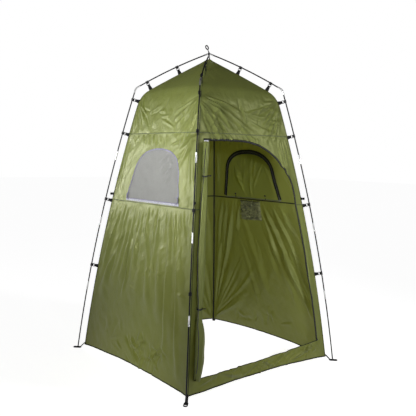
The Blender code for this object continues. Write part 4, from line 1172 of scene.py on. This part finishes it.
def poles():
    ends = (POLE_END_Z, *JOINT_HEIGHTS, KNEE_Z - TUBE_INSET)
    for corner in CORNERS:
        side = pole_side(corner)
        for i, (low, high) in enumerate(zip(ends, ends[1:])):
            top = high if i == len(JOINT_HEIGHTS) else high - 0.001
            line = [leg_point(corner, z) for z in np.linspace(low + 0.0004, top, 16)]
            tube = sweep(f"pole_{corner}_{i + 1}", line, circle(POLE_R), MAT["pole"], lambda i: side)
            ride(tube, "pole_fibreglass", "tent", f"leg_{corner}_tube_{i + 1}")
        for i, z in enumerate(JOINT_HEIGHTS):
            half = FERRULE_LENGTH / 2
            low = (-half, -half + 0.0008, -half + 0.004, -half + 0.0048)
            line = [leg_point(corner, z + d) for d in (*low, 0.0, *(-d for d in low[::-1]))]
            radii = (0.93, 1.0, 1.0, 0.955, 1.0, 0.955, 1.0, 1.0, 0.93)
            name = f"ferrule_{corner}_{i + 1}"
            sleeve = sweep(name, line, lambda i: circle(FERRULE_R * radii[i]), MAT["silver"], lambda i: side)
            ride(sleeve, "ferrule_silver")
        start = roof_fraction(TUBE_INSET)
        places = np.linspace(start, 1 - start, 14)
        line = [roof_point(corner, f) for f in places]
        tube = sweep(f"roof_pole_{corner}", line, circle(POLE_R), MAT["pole"], lambda i: side)
        ride(tube, "pole_fibreglass", "tent", f"roof_tube_{corner}")


# Corner tapes, tabs, clips and ground rings


def corner_line(corner, low, high, inset):
    """Points down the inside of the body's corner."""
    sx, sy = CORNERS[corner]
    ts = np.linspace(low, high, 60)
    return [Vector((sx * (edge_of(t) - inset), sy * (edge_of(t) - inset), float(z_of(t)))) for t in ts]


def pole_station(corner, label):
    kind, i = label
    curve = (lambda at: leg_point(corner, at)) if kind == "leg" else (lambda at: roof_point(corner, at))
    at = LEG_HOOKS[i] if kind == "leg" else ROOF_HOOKS[i]
    direction = (curve(at + 0.002) - curve(at - 0.002)).normalized()
    return curve(at), direction if kind == "leg" else -direction


def nearest_corner(corner, place):
    sx, sy = CORNERS[corner]
    ts = np.linspace(0.1, PROFILE_T[-1] - 0.05, 1500)
    off = np.hypot(sqrt(2) * (edge_of(ts) - abs(place.x)), z_of(ts) - place.z)
    t = ts[int(np.argmin(off))]
    return Vector((sx * edge_of(t), sy * edge_of(t), float(z_of(t))))


def hook_frame(place, direction, target):
    """A frame at the pole: X towards the fabric, Z along the pole."""
    inward = target - place
    inward -= direction * inward.dot(direction)
    x = inward.normalized()
    made = Matrix((x, direction.cross(x), direction)).transposed().to_4x4()
    made.translation = place
    return made, inward.length


def solid_of(bm, outline, low, high, frame_at, bevel=0.0006):
    """Adds a closed prism, with its long edges rounded."""
    rings = [[bm.verts.new(frame_at @ Vector((x, y, z))) for x, y in outline] for z in (low, high)]
    faces = [bm.faces.new(rings[0][::-1]), bm.faces.new(rings[1])]
    count = len(outline)
    for i in range(count):
        j = (i + 1) % count
        faces.append(bm.faces.new((rings[0][i], rings[0][j], rings[1][j], rings[1][i])))
    if bevel:
        edges = [e for face in faces[:2] for e in face.edges]
        bmesh.ops.bevel(bm, geom=edges, offset=bevel, segments=2, affect="EDGES", profile=0.6)


def clip_shape(bm, at):
    """A moulded C-clip with a slotted bar for its tab."""
    bore, outer, mouth, root = POLE_R + 0.0003, 0.0088, 0.80, 0.32
    arc = [root + (pi - mouth - root) * i / 12 for i in range(13)]
    hole = [pi - mouth - (2 * pi - 2 * mouth) * i / 20 for i in range(21)]
    upper = [(outer * cos(a), outer * sin(a)) for a in arc]
    outline = [(0.0130, 0.0020), *upper, *[(bore * cos(a), bore * sin(a)) for a in hole]]
    outline += [*[(x, -y) for x, y in upper[::-1]], (0.0130, -0.0020)]
    solid_of(bm, outline, -0.0095, 0.0095, at)
    bar = [(0.0115, -0.0020), (0.0140, -0.0020), (0.0140, 0.0020), (0.0115, 0.0020)]
    solid_of(bm, bar, -0.0112, 0.0112, at)
    far = [(x + 0.0105, y) for x, y in bar]
    solid_of(bm, far, -0.0112, 0.0112, at)
    for low, high in ((-0.0114, -0.0090), (0.0090, 0.0114)):
        rail = [(0.0110, -0.0018), (0.0235, -0.0018), (0.0235, 0.0018), (0.0130, 0.0018)]
        solid_of(bm, rail, low, high, at, 0.0004)


def tab_shape(bm, at, reach):
    """Folded webbing from the clip's far bar to the fabric, wider where it is sewn on."""
    near = 0.0205
    steps = 9
    rings = []
    for i in range(steps + 1):
        s = i / steps
        x = near + (reach + 0.006 - near) * s
        half = 0.0085 + 0.0045 * smoothstep(s * 1.2)
        thick = 0.0030 * (1 - smoothstep(s * 3.0)) + 0.0020
        sag = 0.0008 * sin(pi * s)
        rings.append([bm.verts.new(at @ Vector((x, b + sag, a))) for a, b in oblong(half, thick, 16)])
    skin(bm, rings)


def short_tab(bm, corner):
    """A spare knob tab just above the waist hook."""
    sx, sy = CORNERS[corner]
    half = float(edge_of(t_of(SHORT_TAB_Z)))
    at = Matrix.Translation((sx * half, sy * half, SHORT_TAB_Z)) @ Matrix.Rotation(atan2(sy, sx), 4, "Z")
    stations = [(-0.006, 0.0090, 0.0030), (0.006, 0.0085, 0.0032), (0.010, 0.0070, 0.0040),
                (0.013, 0.0085, 0.0062), (0.020, 0.0086, 0.0064), (0.0225, 0.0066, 0.0044)]
    rings = [[bm.verts.new(at @ Vector((x, b, a))) for a, b in oblong(wide, thick, 16)]
             for x, wide, thick in stations]
    skin(bm, rings)


def corner_fittings():
    for corner in CORNERS:
        sx, sy = CORNERS[corner]
        diagonal = Vector((sx, sy, 0)).normalized()
        side = pole_side(corner)
        foot_t = t_of(hem_z("left", fabric_half(0.03)))
        line = corner_line(corner, foot_t, t_of(2.040), 0.0032)
        flat = oblong(0.0062, 0.0011, 12)
        tape = sweep(f"corner_tape_{corner}", line, flat, MAT["webbing"], lambda i: side)
        ride(tape, "webbing_black", "tent", f"corner_webbing_{corner}")
        bm_clips, bm_tabs = bmesh.new(), bmesh.new()
        for label in (("leg", 0), ("leg", 1), ("leg", 2), ("leg", 3), ("roof", 0), ("roof", 1)):
            place, direction = pole_station(corner, label)
            at, reach = hook_frame(place, direction, nearest_corner(corner, place))
            clip_shape(bm_clips, at)
            tab_shape(bm_tabs, at, reach)
        short_tab(bm_tabs, corner)
        ride(from_bmesh(f"pole_clips_{corner}", bm_clips, MAT["plastic"], 0.5), "plastic_black")
        ride(from_bmesh(f"tabs_{corner}", bm_tabs, MAT["webbing"], 0.9), "webbing_black")
        ground_fitting(corner, diagonal, side)


def ground_fitting(corner, diagonal, side):
    """The strap from the hem to a round-wired ring with a pin, which the pole's end stands on."""
    foot = leg_point(corner, POLE_END_Z)
    foot.z = 0.0
    wire = 0.0036

    def at(x, y, z):
        return foot + diagonal * x + side * y + Vector((0, 0, z))

    ring = []
    for centre, start in ((0.0215, -pi / 2), (-0.0115, pi / 2)):
        for i in range(13):
            a = start + pi * i / 12
            ring.append(at(centre + 0.0099 * cos(a), 0.0099 * sin(a), wire))
    up = Vector((0, 0, 1))
    name = f"ground_ring_wire_{corner}"
    loop = sweep(name, ring, circle(wire, 14), MAT["plastic"], lambda i: up, closed=True)
    ride(loop, "plastic_black", "tent", f"ground_ring_{corner}")
    plate = bmesh.new()
    outline = [(-0.0095, -0.0098), (0.0070, -0.0098), (0.0070, 0.0098), (-0.0095, 0.0098)]
    placed = Matrix.Translation(foot) @ Matrix.Rotation(atan2(diagonal.y, diagonal.x), 4, "Z")
    solid_of(plate, outline, 0.0004, 0.0048, placed, 0.0010)
    boss = [at(0, 0, 0.0046), at(0, 0, 0.0060), at(0, 0, 0.0082)]
    ride(from_bmesh(f"ground_ring_plate_{corner}", plate, MAT["plastic"], 0.5), "plastic_black")
    swell = (0.0062, 0.0056, 0.0042)
    name = f"ground_ring_boss_{corner}"
    ride(sweep(name, boss, lambda i: circle(swell[i], 16), MAT["plastic"], lambda i: side), "plastic_black")
    hem = float(hem_z("left", fabric_half(0.03)))
    half = float(edge_of(t_of(hem + 0.012)))
    start = Vector((CORNERS[corner][0] * half, CORNERS[corner][1] * half, hem + 0.012))
    end = at(-0.0175, 0, 0.0046)
    between = [start.lerp(end, 0.3) + diagonal * 0.0015, start.lerp(end, 0.65) + diagonal * 0.001]
    line = smooth_path([start, *between, end, at(-0.0195, 0, 0.0022)], 5)
    strap = sweep(f"ground_strap_{corner}", line, oblong(0.0092, 0.0034, 14), MAT["webbing"], lambda i: side)
    ride(strap, "webbing_black")


def smooth_path(points, per_span):
    """A Catmull-Rom curve through the points."""
    points = [Vector(p) for p in points]
    padded = [points[0] * 2 - points[1], *points, points[-1] * 2 - points[-2]]
    found = []
    for a, b, c, d in zip(padded, padded[1:], padded[2:], padded[3:]):
        for i in range(per_span):
            s = i / per_span
            place = b * 2 + (c - a) * s + (a * 2 - b * 5 + c * 4 - d) * s * s + (b * 3 - a - c * 3 + d) * s**3
            found.append(place * 0.5)
    return [*found, points[-1]]


# Apex


def apex():
    """The hanging ring over the crossing, and the strap that holds the fabric's apex up."""
    away = Vector((-1, 1, 0)).normalized()
    base = roof_point("back_left", 0) + Vector((0, 0, FERRULE_R + 0.0004))
    up = Vector((0, 0, 1)) * cos(APEX_LEAN) + away * sin(APEX_LEAN)
    side = Vector((1, 1, 0)).normalized()
    line = [base + up * d for d in (0.0016, 0.004, 0.010, 0.018, 0.024, 0.027)]
    swell = (0.0034, 0.0040, 0.0030, 0.0029, 0.0036, 0.0026)
    stem = sweep("apex_stem", line, lambda i: circle(swell[i], 14), MAT["plastic"], lambda i: side)
    ride(stem, "plastic_black", "apex_ring", "apex_ring")
    tilted = (side * 0.75 + away * 0.66).normalized()
    centre = base + up * (0.026 + 0.0125)
    normal = up.cross(tilted).normalized()
    ring = [centre + (up * cos(a) + tilted * sin(a)) * 0.0135 for a in np.linspace(0, 2 * pi, 37)[:-1]]
    eye = sweep("apex_eye", ring, circle(0.0040, 14), MAT["plastic"], lambda i: normal, closed=True)
    ride(eye, "plastic_black", "apex_ring")
    tip = Vector((0, 0, float(PROFILE_Z[-1])))
    under_crossing = Vector((0, 0, CROSSING_Z - 0.0125))
    line = smooth_path([tip - Vector((0, 0, 0.004)), tip + Vector((0.002, 0, 0.008)), under_crossing], 6)
    strap = sweep("apex_strap", line, oblong(0.0060, 0.0010, 14), MAT["webbing"], lambda i: side)
    ride(strap, "webbing_black")
    wrap = [Vector((0.0, 0.0, CROSSING_Z)) + (side * cos(a) * 0.0090 + Vector((0, 0, 1)) * sin(a) * 0.0135)
            for a in np.linspace(0, 2 * pi, 33)[:-1]]
    band = sweep("apex_wrap", wrap, oblong(0.0050, 0.0009, 12), MAT["webbing"], lambda i: away, closed=True)
    ride(band, "webbing_black")


# Stage


def look_at(obj, target):
    obj.rotation_euler = (Vector(target) - obj.location).to_track_quat("-Z", "Y").to_euler()


def area_light(name, place, target, size, power, spread):
    lamp = bpy.data.lights.new(name, "AREA")
    lamp.shape = "RECTANGLE"
    lamp.size, lamp.size_y = size
    lamp.energy = power
    lamp.spread = spread * pi / 180
    obj = placed(name, lamp)
    obj.location = place
    look_at(obj, target)


def studio():
    """White behind the object; a bright horizon and a dimmer ceiling light it."""
    world = bpy.data.worlds.new("studio")
    bpy.context.scene.world = world
    world.use_nodes = True
    tree = world.node_tree
    lit = tree.nodes["Background"]
    coords = tree.nodes.new("ShaderNodeTexCoord")
    split = tree.nodes.new("ShaderNodeSeparateXYZ")
    ramp = tree.nodes.new("ShaderNodeValToRGB")
    for element, place, level in zip(ramp.color_ramp.elements, (0.02, 0.50), (0.150, 0.045)):
        element.position = place
        element.color = (level, level, level * 1.02, 1)
    tree.links.new(coords.outputs["Generated"], split.inputs[0])
    tree.links.new(split.outputs["Z"], ramp.inputs["Fac"])
    tree.links.new(ramp.outputs["Color"], lit.inputs["Color"])
    plain = tree.nodes.new("ShaderNodeBackground")
    plain.inputs["Color"].default_value = (1, 1, 1, 1)
    path = tree.nodes.new("ShaderNodeLightPath")
    mix = tree.nodes.new("ShaderNodeMixShader")
    tree.links.new(path.outputs["Is Camera Ray"], mix.inputs[0])
    tree.links.new(lit.outputs["Background"], mix.inputs[1])
    tree.links.new(plain.outputs["Background"], mix.inputs[2])
    tree.links.new(mix.outputs["Shader"], tree.nodes["World Output"].inputs["Surface"])


def stage():
    corners = [(-30, -30, 0), (30, -30, 0), (30, 30, 0), (-30, 30, 0)]
    floor = new_object("floor", corners, [(0, 1, 2, 3)], ground(), smooth=False)
    floor.location.z = -0.0002
    floor.visible_diffuse = False
    studio()
    area_light("key", (-3.2, -1.1, 1.85), (-0.3, 0.0, 1.56), (0.6, 0.6), 8.0, 48)
    area_light("sheen", (-2.3, 2.7, 1.7), (-0.4, 0.0, 1.40), (0.9, 0.7), 4.6, 48)
    area_light("fill", (2.0, -3.1, 2.7), (0.1, -0.3, 1.3), (0.5, 0.5), 13, 100)
    area_light("low", (-3.0, -1.9, 0.35), (-0.6, -0.1, 0.10), (0.2, 0.2), 0.40, 18)
    area_light("door", (-1.6, -4.3, 1.7), (0.45, -0.2, 0.80), (0.25, 0.25), 3.6, 34)
    bpy.context.scene.view_settings.view_transform = "Standard"


def camera():
    """A normal lens at head height, in front of the left front corner."""
    data = bpy.data.cameras.new("camera")
    obj = bpy.data.objects.new("camera", data)
    yaw, pitch, roll = 0.6907, -0.0845, 0.021
    data.sensor_width = 36.0
    data.lens = 53.14
    data.clip_end = 200
    forward = Vector((sin(yaw) * cos(pitch), cos(yaw) * cos(pitch), sin(pitch)))
    right = Vector((cos(yaw), -sin(yaw), 0))
    up = right.cross(forward)
    tilted_right = right * cos(roll) + up * sin(roll)
    tilted_up = up * cos(roll) - right * sin(roll)
    obj.matrix_world = Matrix((tilted_right, tilted_up, -forward)).transposed().to_4x4()
    obj.location = (-2.7161, -3.3107, 1.4076)
    bpy.context.scene.collection.objects.link(obj)
    bpy.context.scene.camera = obj


def finish_cad_nodes():
    """Better materials on the CAD nodes that stay in view."""
    looks = {"knee_elbow": "silver", "apex_elbow": "silver", "shock_cord": "elastic", "window_zip": "zip",
             "door_zip": "zip", "window_slider": "slider", "door_slider": "slider"}
    for name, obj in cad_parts.items():
        for prefix, look in looks.items():
            if name.startswith(prefix):
                for i in range(len(obj.material_slots)):
                    obj.material_slots[i].material = MAT[look]


camera()
stage()
finish_cad_nodes()
wall_sheets()
roof_sheets()
seam_tapes()
hems()
windows()
flap_sheets()
window_toggles()
door_roll()
roll_ties()
pocket()
poles()
corner_fittings()
apex()

bpy.context.view_layer.update()
